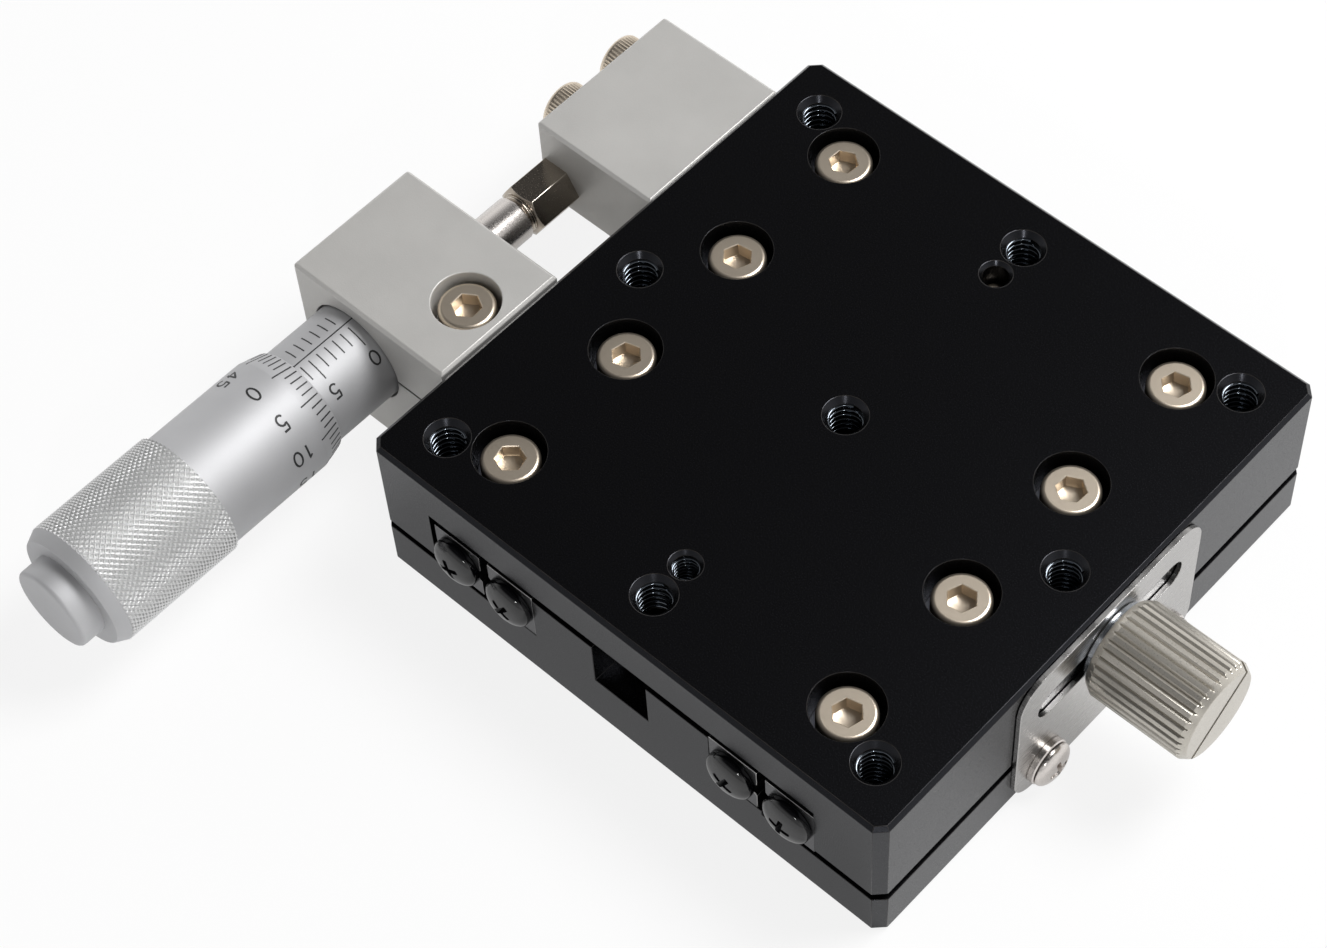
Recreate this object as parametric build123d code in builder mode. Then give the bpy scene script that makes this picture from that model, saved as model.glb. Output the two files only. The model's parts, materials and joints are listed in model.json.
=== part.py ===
from build123d import *

import os
from math import radians, sqrt, tan

# A manual linear stage, 60 mm square, in millimetres.
# X runs across the travel, Y along it and Z up. The origin is the middle of the base's underside.
# A table rides on the base on two crossed-roller guides. A micrometer head on the left side pushes
# the table along +Y through a stop bolt, a spring in the base pulls it back, and a knurled knob on
# the right side clamps the table to a slotted plate. The stage is drawn at the middle of its travel.

# Plates
plate_side = 60.0
stage_height = 18.0
corner_chamfer = 1.0
edge_bevel = 0.4
table_side_inset = 0.05

# Rail bed, from the bottom up
flange_height = 5.6
ledge_step = 0.6
skirt_gap = 1.0
ridge_drop = 0.2
ceiling_gap = 1.1
channel_width = 6.4
channel_floor = 6.5

# Crossed-roller guides
guide_offset = 16.5
rail_width = 5.5
rail_height = 6.0
rail_gap = 1.0
rail_end_recess = 0.05
pad_setback = 0.8
preload_gap = 0.6
relief_width = 0.3
relief_depth = 0.25
rail_hole_pitch = 15.0
rail_hole_count = 4
roller_diameter = 2.0
roller_length = 1.9
roller_pitch = 4.0
roller_count = 12
roller_clearance = 0.02
roller_tilt = 45.0
cage_thickness = 0.5
cage_height = 5.0
window_height = 3.0
window_clearance = 0.05

# Fits
thread_gap = 0.02
running_gap = 0.03
sliding_gap = 0.05
screw_hole_gap = 0.2

# Screw threads, nominal radius
m25_thread = 1.25
m3_thread = 1.5
m4_thread = 2.0

# Socket cap screws
m3_head_radius = 2.75
m3_head_height = 3.0
m3_key = 2.5
m3_key_depth = 1.5
m25_head_radius = 2.25
m25_head_height = 2.5
m25_key = 2.0
m25_key_depth = 1.2
head_chamfer = 0.3

# Rail screws
rail_screw_length = 6.0
table_screw_recess = 0.9
table_counterbore_radius = 3.4
base_screw_recess = 0.4
base_counterbore_radius = 3.25

# Cross-recess pan heads
pan_side_height = 0.95
pan_dome_rise = 0.55
pan_round = 0.3
cross_width = 0.6
cross_length = 2.4
cross_depth = 1.1
rail_end_head_radius = 2.55
rail_end_screw_spare = 1.6
blind_hole_spare = 0.5

# Tapped holes in the table and the base
corner_pitch = 50.0
m4_core = 1.65
m4_mouth = 2.15
m4_blind_depth = 6.5
small_hole_pitch = 42.0
m3_core = 1.25
m3_mouth = 1.6

# Preload set screws
preload_screw_length = 6.0
preload_key = 1.5
preload_key_depth = 1.6

# Micrometer
micrometer_x = -42.6
micrometer_z = 10.4
spindle_radius = 2.35
spindle_tip_y = 1.1
spindle_back_y = -24.0
tip_chamfer = 0.25
body_radius = 4.75
body_nose_y = -5.6
body_bore_chamfer = 0.4
sleeve_radius = 5.2
sleeve_end_y = -36.5
sleeve_seat_depth = 1.0
nut_thread_radius = 4.0
nut_radius = 4.9
nut_length = 2.4
nut_stub_spare = 0.5
zero_mark_y = -21.2
reading = 6.5
thimble_lip_radius = 5.5
thimble_bevel_length = 2.3
thimble_radius = 6.1
knurl_radius = 6.5
knurl_start_y = -41.4
knurl_end_y = -54.3
knurl_chamfer = 0.25
thimble_end_y = -55.5
thimble_wall_y = -50.0
drive_screw_radius = 2.2
drive_screw_end_y = -53.0
cap_radius = 4.25
cap_length = 2.5
cap_chamfer = 0.4
cap_stub_radius = 1.5
cap_stub_length = 2.0

# Micrometer bracket
bracket_outer_x = -50.0
bracket_table_gap = 0.5
bracket_y = -12.8
bracket_length = 15.0
bracket_floor_gap = 0.2
bracket_top = 17.5
bracket_foot_top = 5.4
block_bevel = 0.3
ring_radius = 5.4
slit_width = 0.3
clamp_screw_x = -34.8
clamp_counterbore_radius = 3.3
clamp_head_recess = 0.7
clamp_screw_length = 8.0
bracket_screw_z = 2.9
bracket_screw_pitch = 9.0
bracket_screw_length = 22.0
bracket_counterbore_depth = 3.0
bracket_counterbore_radius = 2.4

# Anvil block and its stop bolt
anvil_length_x = 14.85
anvil_front_y = 6.7
anvil_length_y = 18.0
anvil_bottom = 7.5
anvil_top = 17.5
anvil_screw_first_y = 12.75
anvil_screw_pitch = 8.0
anvil_screw_length = 20.0
bolt_across_flats = 5.0
bolt_face_radius = 2.3
bolt_bevel_angle = 30.0
bolt_shank_length = 4.0
bolt_nose_length = 0.5
bolt_nose_radius = 2.0
bolt_nose_bevel = 0.3

# Clamp plate and knob
clamp_plate_thickness = 0.5
clamp_plate_length = 25.0
clamp_plate_bottom = 0.2
clamp_plate_top = 17.8
clamp_plate_top_round = 3.0
clamp_plate_foot_round = 1.0
clamp_z = 12.7
clamp_slot_reach = 8.35
clamp_slot_radius = 1.65
plate_screw_y = 8.5
plate_screw_z = 3.1
plate_screw_head_radius = 2.5
plate_screw_length = 4.5
washer_radius = 4.0
washer_thickness = 0.6
knob_radius = 5.0
knob_face_radius = 4.5
knob_length = 11.0
knob_bevel_length = 0.8
knob_ridges = 36
knob_groove_side = 0.4
knob_slot_width = 0.55
knob_slot_depth = 1.0
knob_slot_turn = 40.0
stud_depth_in_table = 2.6
stud_depth_in_knob = 5.0

# Return spring and its two posts
table_post_y = 21.0
base_post_y = -25.0
spring_z = 9.3
post_radius = 1.25
post_neck_radius = 0.8
post_neck_height = 0.8
post_head_height = 0.6
table_post_drop = 2.6
base_post_depth = 3.0
spring_radius = 1.5
spring_wire = 0.4
hook_length = 3.0
hook_wire_radius = 0.2
hook_radius = 1.05
hook_wrap = 270.0

# Places worked out from the sizes above
half_plate = plate_side / 2
table_side = half_plate - table_side_inset
ledge_z = flange_height + ledge_step
rail_top = ledge_z + rail_height
ridge_top = rail_top - ridge_drop
ceiling_z = ridge_top + ceiling_gap
skirt_bottom = flange_height + skirt_gap
roller_z = ledge_z + rail_height / 2
inner_face = guide_offset - rail_gap / 2
outer_face = guide_offset + rail_gap / 2
ridge_side = inner_face - rail_width
pocket_side = outer_face + rail_width
preload_side = pocket_side + preload_gap
inner_hole_x = inner_face - rail_width / 2
outer_hole_x = outer_face + rail_width / 2
rail_end = half_plate - rail_end_recess
last_rail_hole_y = rail_hole_pitch * (rail_hole_count - 1) / 2
rail_end_thread_length = rail_end - last_rail_hole_y - m3_thread - rail_end_screw_spare
roller_reach = (roller_diameter / 2 + roller_clearance) * sqrt(2)
groove_depth = roller_reach - rail_gap / 2
corner_place = corner_pitch / 2
thimble_edge_y = zero_mark_y - reading
bracket_front = bracket_y - bracket_length / 2
bracket_inner_x = -half_plate - bracket_table_gap
bracket_screw_bite = bracket_outer_x + bracket_counterbore_depth + bracket_screw_length + half_plate
clamp_outer_x = half_plate + clamp_plate_thickness
anvil_screw_y = anvil_screw_first_y + anvil_screw_pitch / 2
anvil_screw_z = (anvil_bottom + anvil_top) / 2
anvil_screw_bite = anvil_screw_length - anvil_length_x
clamp_screw_tip = bracket_top - clamp_head_recess - m3_head_height - clamp_screw_length
sleeve_front_y = bracket_front + sleeve_seat_depth - sliding_gap
body_end_y = sleeve_end_y - sliding_gap - nut_length - nut_stub_spare
washer_x = clamp_outer_x + sliding_gap
knob_x = washer_x + washer_thickness + sliding_gap
knob_end_x = knob_x + knob_length

# Planes that holes and screws are placed on, each facing out of the stage
underside = Plane(origin=(0, 0, 0), x_dir=(1, 0, 0), z_dir=(0, 0, -1))
table_top = Plane.XY.offset(stage_height)
base_right = Plane.YZ.offset(half_plate)
base_left = Plane(origin=(-half_plate, 0, 0), x_dir=(0, -1, 0), z_dir=(-1, 0, 0))
table_right = Plane.YZ.offset(table_side)
table_left = Plane(origin=(-table_side, 0, 0), x_dir=(0, -1, 0), z_dir=(-1, 0, 0))
rail_front = Plane.XZ.offset(rail_end)
rail_back = Plane(origin=(0, rail_end, 0), x_dir=(-1, 0, 0), z_dir=(0, 1, 0))
micrometer_plane = Plane(origin=(micrometer_x, 0, micrometer_z), x_dir=(0, 1, 0), z_dir=(1, 0, 0))
micrometer_axis = Axis((micrometer_x, 0, micrometer_z), (0, 1, 0))
clamp_plane = Plane(origin=(0, 0, clamp_z), x_dir=(1, 0, 0), z_dir=(0, -1, 0))
clamp_axis = Axis((0, 0, clamp_z), (1, 0, 0))


def section(points, plane=micrometer_plane):
    """The closed section of a turned piece, drawn on a plane that holds its axis."""
    with BuildSketch(plane) as outline:
        with BuildLine():
            Polyline(*points, close=True)
        make_face()
    return outline.sketch


def cap_screw(thread, length, head, height, key, key_depth):
    """A socket cap screw: seat at the origin, head up, thread down."""
    with BuildPart() as screw:
        with BuildSketch():
            Circle(head)
        extrude(amount=height)
        chamfer(screw.edges().group_by(Axis.Z)[-1], head_chamfer)
        with BuildSketch(Plane.XY.offset(height)):
            RegularPolygon(key / 2, 6, major_radius=False)
        extrude(amount=-key_depth, mode=Mode.SUBTRACT)
        with BuildSketch():
            Circle(thread - thread_gap)
        extrude(amount=-length)
    return screw.part


def pan_screw(thread, length, head):
    """A cross-recess pan screw: seat at the origin, domed head up, thread down."""
    with BuildPart() as screw:
        with BuildSketch(Plane.XZ):
            with BuildLine():
                Polyline((0, pan_side_height + pan_dome_rise), (0, 0), (head, 0), (head, pan_side_height))
                TangentArc(
                    (0, pan_side_height + pan_dome_rise),
                    (head, pan_side_height),
                    tangent=(1, 0),
                )
            make_face()
        revolve(axis=Axis.Z)
        fillet(screw.edges().filter_by(GeomType.CIRCLE).sort_by(Axis.Z)[1], pan_round)
        with BuildSketch(Plane.XY.offset(pan_side_height + pan_dome_rise)):
            Rectangle(cross_length, cross_width)
            Rectangle(cross_width, cross_length)
        extrude(amount=-cross_depth, mode=Mode.SUBTRACT)
        with BuildSketch():
            Circle(thread - thread_gap)
        extrude(amount=-length)
    return screw.part


def rail(face_x, body_side):
    """A rail with its V groove in the face at face_x and its body on body_side (+1 or -1) of it."""
    middle_x = face_x + body_side * rail_width / 2
    apex_x = face_x + body_side * groove_depth
    with BuildPart() as piece:
        with BuildSketch(Plane.XZ):
            with Locations((middle_x, roller_z)):
                Rectangle(rail_width, rail_height)
            with BuildLine():
                Polyline(
                    (face_x, roller_z + groove_depth),
                    (apex_x, roller_z),
                    (face_x, roller_z - groove_depth),
                    close=True,
                )
            make_face(mode=Mode.SUBTRACT)
            with Locations((apex_x, roller_z)):
                Rectangle(2 * relief_depth, relief_width, mode=Mode.SUBTRACT)
        extrude(amount=rail_end, both=True)
        with Locations((middle_x, 0, rail_top)):
            with GridLocations(1, rail_hole_pitch, 1, rail_hole_count):
                Hole(m3_thread)
        for end_plane, hole_x in ((rail_front, middle_x), (rail_back, -middle_x)):
            with Locations(end_plane):
                with Locations((hole_x, roller_z)):
                    Hole(m25_thread, depth=rail_end_thread_length + blind_hole_spare)
    return piece.part


# Base plate: flange, ledges for the inner rails, ridge between them and the spring's channel
with BuildPart() as base_plate:
    with BuildSketch(Plane.XZ):
        with BuildLine():
            Polyline(
                (0, 0),
                (half_plate, 0),
                (half_plate, flange_height),
                (guide_offset, flange_height),
                (guide_offset, ledge_z),
                (ridge_side, ledge_z),
                (ridge_side, ridge_top),
                (channel_width / 2, ridge_top),
                (channel_width / 2, channel_floor),
                (0, channel_floor),
                close=True,
            )
        make_face()
        mirror(about=Plane.YZ)
    extrude(amount=half_plate, both=True)
    upright = base_plate.edges().filter_by(Axis.Z).sort_by(Axis.X)
    chamfer(upright[:2] + upright[-2:], corner_chamfer)
    chamfer(base_plate.faces().sort_by(Axis.Z)[0].edges(), edge_bevel)
    with Locations(underside):
        with GridLocations(2 * inner_hole_x, rail_hole_pitch, 2, rail_hole_count):
            CounterBoreHole(
                m3_thread + screw_hole_gap,
                base_counterbore_radius,
                m3_head_height + base_screw_recess,
            )
        with GridLocations(corner_pitch, corner_pitch, 2, 2):
            CounterSinkHole(m4_core, m4_mouth)
    with Locations(base_right):
        with Locations((-plate_screw_y, plate_screw_z), (plate_screw_y, plate_screw_z)):
            Hole(m25_thread, depth=plate_screw_length - clamp_plate_thickness + blind_hole_spare)
    with Locations(base_left):
        with Locations((-bracket_y, bracket_screw_z)):
            with GridLocations(bracket_screw_pitch, 1, 2, 1):
                Hole(m25_thread, depth=bracket_screw_bite + blind_hole_spare)
    with Locations((0, base_post_y, channel_floor)):
        Hole(post_radius, depth=base_post_depth + running_gap)

# Table plate: an upside-down U over the rails
with BuildPart() as table_plate:
    with BuildSketch(Plane.XZ):
        with BuildLine():
            Polyline(
                (-table_side, stage_height),
                (table_side, stage_height),
                (table_side, skirt_bottom),
                (pocket_side, skirt_bottom),
                (pocket_side, ceiling_z),
                (-preload_side, ceiling_z),
                (-preload_side, skirt_bottom),
                (-table_side, skirt_bottom),
                close=True,
            )
        make_face()
    extrude(amount=half_plate, both=True)
    upright = table_plate.edges().filter_by(Axis.Z).sort_by(Axis.X)
    chamfer(upright[:2] + upright[-2:], corner_chamfer)
    chamfer(table_plate.faces().sort_by(Axis.Z)[-1].edges(), edge_bevel)
    with BuildSketch(Plane.XY.offset(rail_top)):
        with Locations(((outer_face + pocket_side) / 2, 0)):
            Rectangle(rail_width, plate_side - 2 * pad_setback)
        with Locations((-(outer_face + preload_side) / 2, 0)):
            Rectangle(rail_width + preload_gap, plate_side - 2 * pad_setback)
    extrude(amount=ceiling_z - rail_top)
    with Locations(table_top):
        with GridLocations(2 * outer_hole_x, rail_hole_pitch, 2, rail_hole_count):
            CounterBoreHole(
                m3_thread + screw_hole_gap,
                table_counterbore_radius,
                m3_head_height + table_screw_recess,
            )
        with GridLocations(corner_pitch, corner_place, 2, 3):
            CounterSinkHole(m4_core, m4_mouth, depth=m4_blind_depth)
        with GridLocations(1, corner_place, 1, 3):
            CounterSinkHole(m4_core, m4_mouth)
        with GridLocations(1, small_hole_pitch, 1, 2):
            CounterSinkHole(m3_core, m3_mouth)
    with Locations(table_right):
        with Locations((0, clamp_z)):
            Hole(m3_thread, depth=stud_depth_in_table + running_gap)
    with Locations(table_left):
        with Locations((0, roller_z)):
            with GridLocations(rail_hole_pitch, 1, rail_hole_count, 1):
                Hole(m3_thread, depth=table_side - preload_side)
        with Locations((-anvil_screw_y, anvil_screw_z)):
            with GridLocations(anvil_screw_pitch, 1, 2, 1):
                Hole(m3_thread, depth=anvil_screw_bite + blind_hole_spare)

# Rails: the inner ones sit on the base's ledges, the outer ones under the table
with BuildPart() as inner_rail_right:
    add(rail(inner_face, -1))
with BuildPart() as inner_rail_left:
    mirror(inner_rail_right.part, about=Plane.YZ)
with BuildPart() as outer_rail_right:
    add(rail(outer_face, 1))
with BuildPart() as outer_rail_left:
    mirror(outer_rail_right.part, about=Plane.YZ)

# Cages: thin strips in the gaps, with a window for each roller
with BuildPart() as right_cage_strip:
    with BuildSketch(Plane.YZ.offset(guide_offset)):
        with Locations((0, roller_z)):
            Rectangle(roller_count * roller_pitch, cage_height)
            with GridLocations(roller_pitch, 1, roller_count, 1):
                Rectangle(roller_diameter + 2 * window_clearance, window_height, mode=Mode.SUBTRACT)
    extrude(amount=cage_thickness / 2, both=True)
with BuildPart() as left_cage_strip:
    mirror(right_cage_strip.part, about=Plane.YZ)

# Rollers: their axes lean one way and the other in turn, so that each guide holds up and down
with BuildPart() as right_rollers:
    for number in range(roller_count):
        roller_y = (number - (roller_count - 1) / 2) * roller_pitch
        lean = roller_tilt if number % 2 == 0 else -roller_tilt
        with Locations(Location((guide_offset, roller_y, roller_z), (0, lean, 0))):
            Cylinder(roller_diameter / 2, roller_length)
with BuildPart() as left_rollers:
    mirror(right_rollers.part, about=Plane.YZ)

# Screws that hold the rails
rail_screw = cap_screw(
    m3_thread, rail_screw_length, m3_head_radius, m3_head_height, m3_key, m3_key_depth
)
with BuildPart() as table_rail_screws:
    with Locations(Plane.XY.offset(stage_height - table_screw_recess - m3_head_height)):
        with GridLocations(2 * outer_hole_x, rail_hole_pitch, 2, rail_hole_count):
            add(rail_screw)
with BuildPart() as base_rail_screws:
    with Locations(underside.offset(-base_screw_recess - m3_head_height)):
        with GridLocations(2 * inner_hole_x, rail_hole_pitch, 2, rail_hole_count):
            add(rail_screw)

# Screws in the rail ends
rail_end_screw = pan_screw(m25_thread, rail_end_thread_length, rail_end_head_radius)
with BuildPart() as inner_rail_end_screws:
    with Locations(rail_front, rail_back):
        with Locations((-inner_hole_x, roller_z), (inner_hole_x, roller_z)):
            add(rail_end_screw)
with BuildPart() as outer_rail_end_screws:
    with Locations(rail_front, rail_back):
        with Locations((-outer_hole_x, roller_z), (outer_hole_x, roller_z)):
            add(rail_end_screw)

# Set screws that press the left outer rail against the rollers
with BuildPart() as preload_screws:
    with Locations(table_left.offset(pocket_side - table_side)):
        with Locations((0, roller_z)):
            with GridLocations(rail_hole_pitch, 1, rail_hole_count, 1):
                Cylinder(
                    m3_thread - thread_gap,
                    preload_screw_length,
                    align=(Align.CENTER, Align.CENTER, Align.MIN),
                )
    with BuildSketch(table_left.offset(pocket_side - table_side + preload_screw_length)):
        with Locations((0, roller_z)):
            with GridLocations(rail_hole_pitch, 1, rail_hole_count, 1):
                RegularPolygon(preload_key / 2, 6, major_radius=False)
    extrude(amount=-preload_key_depth, mode=Mode.SUBTRACT)

# Micrometer bracket: a block slit on the stage's side, with a foot against the base
with BuildPart() as micrometer_bracket:
    with BuildSketch(Plane.XZ.offset(-bracket_y)):
        with BuildLine():
            Polyline(
                (bracket_outer_x, bracket_floor_gap),
                (-half_plate, bracket_floor_gap),
                (-half_plate, bracket_foot_top),
                (bracket_inner_x, bracket_foot_top),
                (bracket_inner_x, bracket_top),
                (bracket_outer_x, bracket_top),
                close=True,
            )
        make_face()
    extrude(amount=bracket_length / 2, both=True)
    chamfer(micrometer_bracket.faces().sort_by(Axis.Z)[-1].edges(), block_bevel)
    chamfer(micrometer_bracket.edges().filter_by(Axis.Z).sort_by(Axis.X)[:2], block_bevel)
    with BuildSketch(Plane.XZ.offset(-bracket_y)):
        with Locations((micrometer_x, micrometer_z)):
            Circle(body_radius + thread_gap)
        with Locations(((micrometer_x + bracket_inner_x) / 2, micrometer_z)):
            Rectangle(bracket_inner_x - micrometer_x, slit_width)
    extrude(amount=bracket_length / 2, both=True, mode=Mode.SUBTRACT)
    with BuildSketch(Plane.XZ.offset(-bracket_front)):
        with Locations((micrometer_x, micrometer_z)):
            Circle(ring_radius)
    extrude(amount=-sleeve_seat_depth, mode=Mode.SUBTRACT)
    with Locations((clamp_screw_x, bracket_y, bracket_top)):
        CounterBoreHole(
            m3_thread + screw_hole_gap,
            clamp_counterbore_radius,
            clamp_head_recess + m3_head_height,
            depth=bracket_top - micrometer_z,
        )
    with Locations((clamp_screw_x, bracket_y, micrometer_z)):
        Hole(m3_thread, depth=micrometer_z - clamp_screw_tip + blind_hole_spare)
    with Locations(base_left.offset(-bracket_outer_x - half_plate)):
        with Locations((-bracket_y, bracket_screw_z)):
            with GridLocations(bracket_screw_pitch, 1, 2, 1):
                CounterBoreHole(
                    m25_thread + screw_hole_gap / 2, bracket_counterbore_radius, bracket_counterbore_depth
                )

with BuildPart() as bracket_clamp_screw:
    with Locations((clamp_screw_x, bracket_y, clamp_screw_tip + clamp_screw_length)):
        add(cap_screw(
            m3_thread, clamp_screw_length, m3_head_radius, m3_head_height, m3_key, m3_key_depth
        ))

bracket_screw = cap_screw(
    m25_thread, bracket_screw_length, m25_head_radius, m25_head_height, m25_key, m25_key_depth
)
with BuildPart() as bracket_mount_screws:
    with Locations(base_left.offset(-bracket_outer_x - half_plate - bracket_counterbore_depth)):
        with Locations((-bracket_y, bracket_screw_z)):
            with GridLocations(bracket_screw_pitch, 1, 2, 1):
                add(bracket_screw)

# Micrometer head: a body clamped in the bracket, with the scale on a sleeve
body_bore = spindle_radius + running_gap
with BuildPart() as micrometer_body:
    revolve(section([
        (body_nose_y, body_bore + body_bore_chamfer),
        (body_nose_y, body_radius),
        (sleeve_end_y, body_radius),
        (sleeve_end_y, nut_thread_radius),
        (body_end_y, nut_thread_radius),
        (body_end_y, body_bore),
        (body_nose_y - body_bore_chamfer, body_bore),
    ]), axis=micrometer_axis)
with BuildPart() as graduated_sleeve:
    revolve(section([
        (sleeve_front_y, body_radius + thread_gap),
        (sleeve_front_y, sleeve_radius),
        (sleeve_end_y, sleeve_radius),
        (sleeve_end_y, body_radius + thread_gap),
    ]), axis=micrometer_axis)
with BuildPart() as adjusting_nut:
    revolve(section([
        (sleeve_end_y - sliding_gap, nut_thread_radius + thread_gap),
        (sleeve_end_y - sliding_gap, nut_radius),
        (sleeve_end_y - sliding_gap - nut_length, nut_radius),
        (sleeve_end_y - sliding_gap - nut_length, nut_thread_radius + thread_gap),
    ]), axis=micrometer_axis)

# Spindle: it slides in the body without turning
with BuildPart() as spindle:
    revolve(section([
        (spindle_tip_y, 0),
        (spindle_tip_y, spindle_radius - tip_chamfer),
        (spindle_tip_y - tip_chamfer, spindle_radius),
        (spindle_back_y, spindle_radius),
        (spindle_back_y, 0),
    ]), axis=micrometer_axis)

# Thimble: bevelled scale edge, barrel and knurled grip in one, closed at the back by its wall
thimble_bore = sleeve_radius + 2 * running_gap
bevel_end_y = thimble_edge_y - thimble_bevel_length
cap_stub_end_y = thimble_end_y + cap_stub_length
with BuildPart() as thimble:
    revolve(section([
        (thimble_edge_y, thimble_bore),
        (thimble_edge_y, thimble_lip_radius),
        (bevel_end_y, thimble_radius),
        (knurl_start_y, thimble_radius),
        (knurl_start_y, knurl_radius - knurl_chamfer),
        (knurl_start_y - knurl_chamfer, knurl_radius),
        (knurl_end_y, knurl_radius),
        (thimble_end_y, thimble_radius - knurl_chamfer),
        (thimble_end_y, cap_stub_radius + thread_gap),
        (drive_screw_end_y - sliding_gap, cap_stub_radius + thread_gap),
        (drive_screw_end_y - sliding_gap, drive_screw_radius + thread_gap),
        (thimble_wall_y, drive_screw_radius + thread_gap),
        (thimble_wall_y, thimble_bore),
    ]), axis=micrometer_axis)
with BuildPart() as drive_screw:
    revolve(section([
        (spindle_back_y - sliding_gap, 0),
        (spindle_back_y - sliding_gap, drive_screw_radius),
        (drive_screw_end_y, drive_screw_radius),
        (drive_screw_end_y, 0),
    ]), axis=micrometer_axis)
with BuildPart() as thimble_cap:
    revolve(section([
        (cap_stub_end_y, 0),
        (cap_stub_end_y, cap_stub_radius),
        (thimble_end_y, cap_stub_radius),
        (thimble_end_y, cap_radius),
        (thimble_end_y - cap_length + cap_chamfer, cap_radius),
        (thimble_end_y - cap_length, cap_radius - cap_chamfer),
        (thimble_end_y - cap_length, 0),
    ]), axis=micrometer_axis)

# Anvil block: bolted to the table's left side, so that the spindle can push the table
with BuildPart() as anvil_block:
    with BuildSketch(Plane.XY.offset(anvil_bottom)):
        with Locations((-table_side - anvil_length_x / 2, anvil_front_y + anvil_length_y / 2)):
            Rectangle(anvil_length_x, anvil_length_y)
    extrude(amount=anvil_top - anvil_bottom)
    chamfer(anvil_block.faces().sort_by(Axis.Z)[-1].edges(), block_bevel)
    chamfer(anvil_block.edges().filter_by(Axis.Z).sort_by(Axis.X)[:2], block_bevel)
    with Locations(table_left.offset(anvil_length_x)):
        with Locations((-anvil_screw_y, anvil_screw_z)):
            with GridLocations(anvil_screw_pitch, 1, 2, 1):
                Hole(m3_thread + screw_hole_gap)
    with Locations(Plane.XZ.offset(-anvil_front_y)):
        with Locations((micrometer_x, micrometer_z)):
            Hole(m4_thread, depth=bolt_shank_length + running_gap)

anvil_screw = cap_screw(
    m3_thread, anvil_screw_length, m3_head_radius, m3_head_height, m3_key, m3_key_depth
)
with BuildPart() as anvil_block_screws:
    with Locations(table_left.offset(anvil_length_x)):
        with Locations((-anvil_screw_y, anvil_screw_z)):
            with GridLocations(anvil_screw_pitch, 1, 2, 1):
                add(anvil_screw)

# Anvil bolt: hexagon head with bevelled corners, then a short nose that the spindle's tip meets
bolt_head_y = spindle_tip_y + bolt_nose_length
bolt_corner = bolt_across_flats / sqrt(3)
bolt_bevel_length = (bolt_corner - bolt_face_radius) * tan(radians(bolt_bevel_angle))
with BuildPart() as anvil_bolt:
    with BuildSketch(Plane.XZ.offset(-anvil_front_y)):
        with Locations((micrometer_x, micrometer_z)):
            RegularPolygon(bolt_across_flats / 2, 6, major_radius=False)
    extrude(amount=anvil_front_y - bolt_head_y)
    revolve(section([
        (bolt_head_y, 0),
        (bolt_head_y, bolt_face_radius),
        (bolt_head_y + bolt_bevel_length, bolt_corner),
        (anvil_front_y, bolt_corner),
        (anvil_front_y, 0),
    ]), axis=micrometer_axis, mode=Mode.INTERSECT)
    revolve(section([
        (bolt_head_y, 0),
        (bolt_head_y, bolt_nose_radius),
        (spindle_tip_y + bolt_nose_bevel, bolt_nose_radius),
        (spindle_tip_y, bolt_nose_radius - bolt_nose_bevel),
        (spindle_tip_y, 0),
    ]), axis=micrometer_axis)
    revolve(section([
        (anvil_front_y, 0),
        (anvil_front_y, m4_thread - thread_gap),
        (anvil_front_y + bolt_shank_length, m4_thread - thread_gap),
        (anvil_front_y + bolt_shank_length, 0),
    ]), axis=micrometer_axis)

# Clamp plate: thin, held low on the base, slotted where the knob's stud passes
with BuildPart() as clamp_plate:
    with BuildSketch(base_right):
        with BuildLine():
            Polyline(
                (-clamp_plate_length / 2, clamp_plate_bottom),
                (clamp_plate_length / 2, clamp_plate_bottom),
                (clamp_plate_length / 2, clamp_plate_top),
                (-clamp_plate_length / 2, clamp_plate_top),
                close=True,
            )
        face = make_face()
        fillet(face.vertices().group_by(Axis.Z)[-1], clamp_plate_top_round)
        fillet(face.vertices().group_by(Axis.Z)[0], clamp_plate_foot_round)
        with Locations((0, clamp_z)):
            SlotCenterToCenter(2 * clamp_slot_reach, 2 * clamp_slot_radius, mode=Mode.SUBTRACT)
        with Locations((-plate_screw_y, plate_screw_z), (plate_screw_y, plate_screw_z)):
            Circle(m25_thread + screw_hole_gap / 2, mode=Mode.SUBTRACT)
    extrude(amount=clamp_plate_thickness)

plate_screw = pan_screw(m25_thread, plate_screw_length, plate_screw_head_radius)
with BuildPart() as clamp_plate_screws:
    with Locations(Plane.YZ.offset(clamp_outer_x)):
        with Locations((-plate_screw_y, plate_screw_z), (plate_screw_y, plate_screw_z)):
            add(plate_screw)

with BuildPart() as clamp_washer:
    with BuildSketch(Plane.YZ.offset(washer_x)):
        with Locations((0, clamp_z)):
            Circle(washer_radius)
            Circle(m3_thread + screw_hole_gap / 2, mode=Mode.SUBTRACT)
    extrude(amount=washer_thickness)

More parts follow.
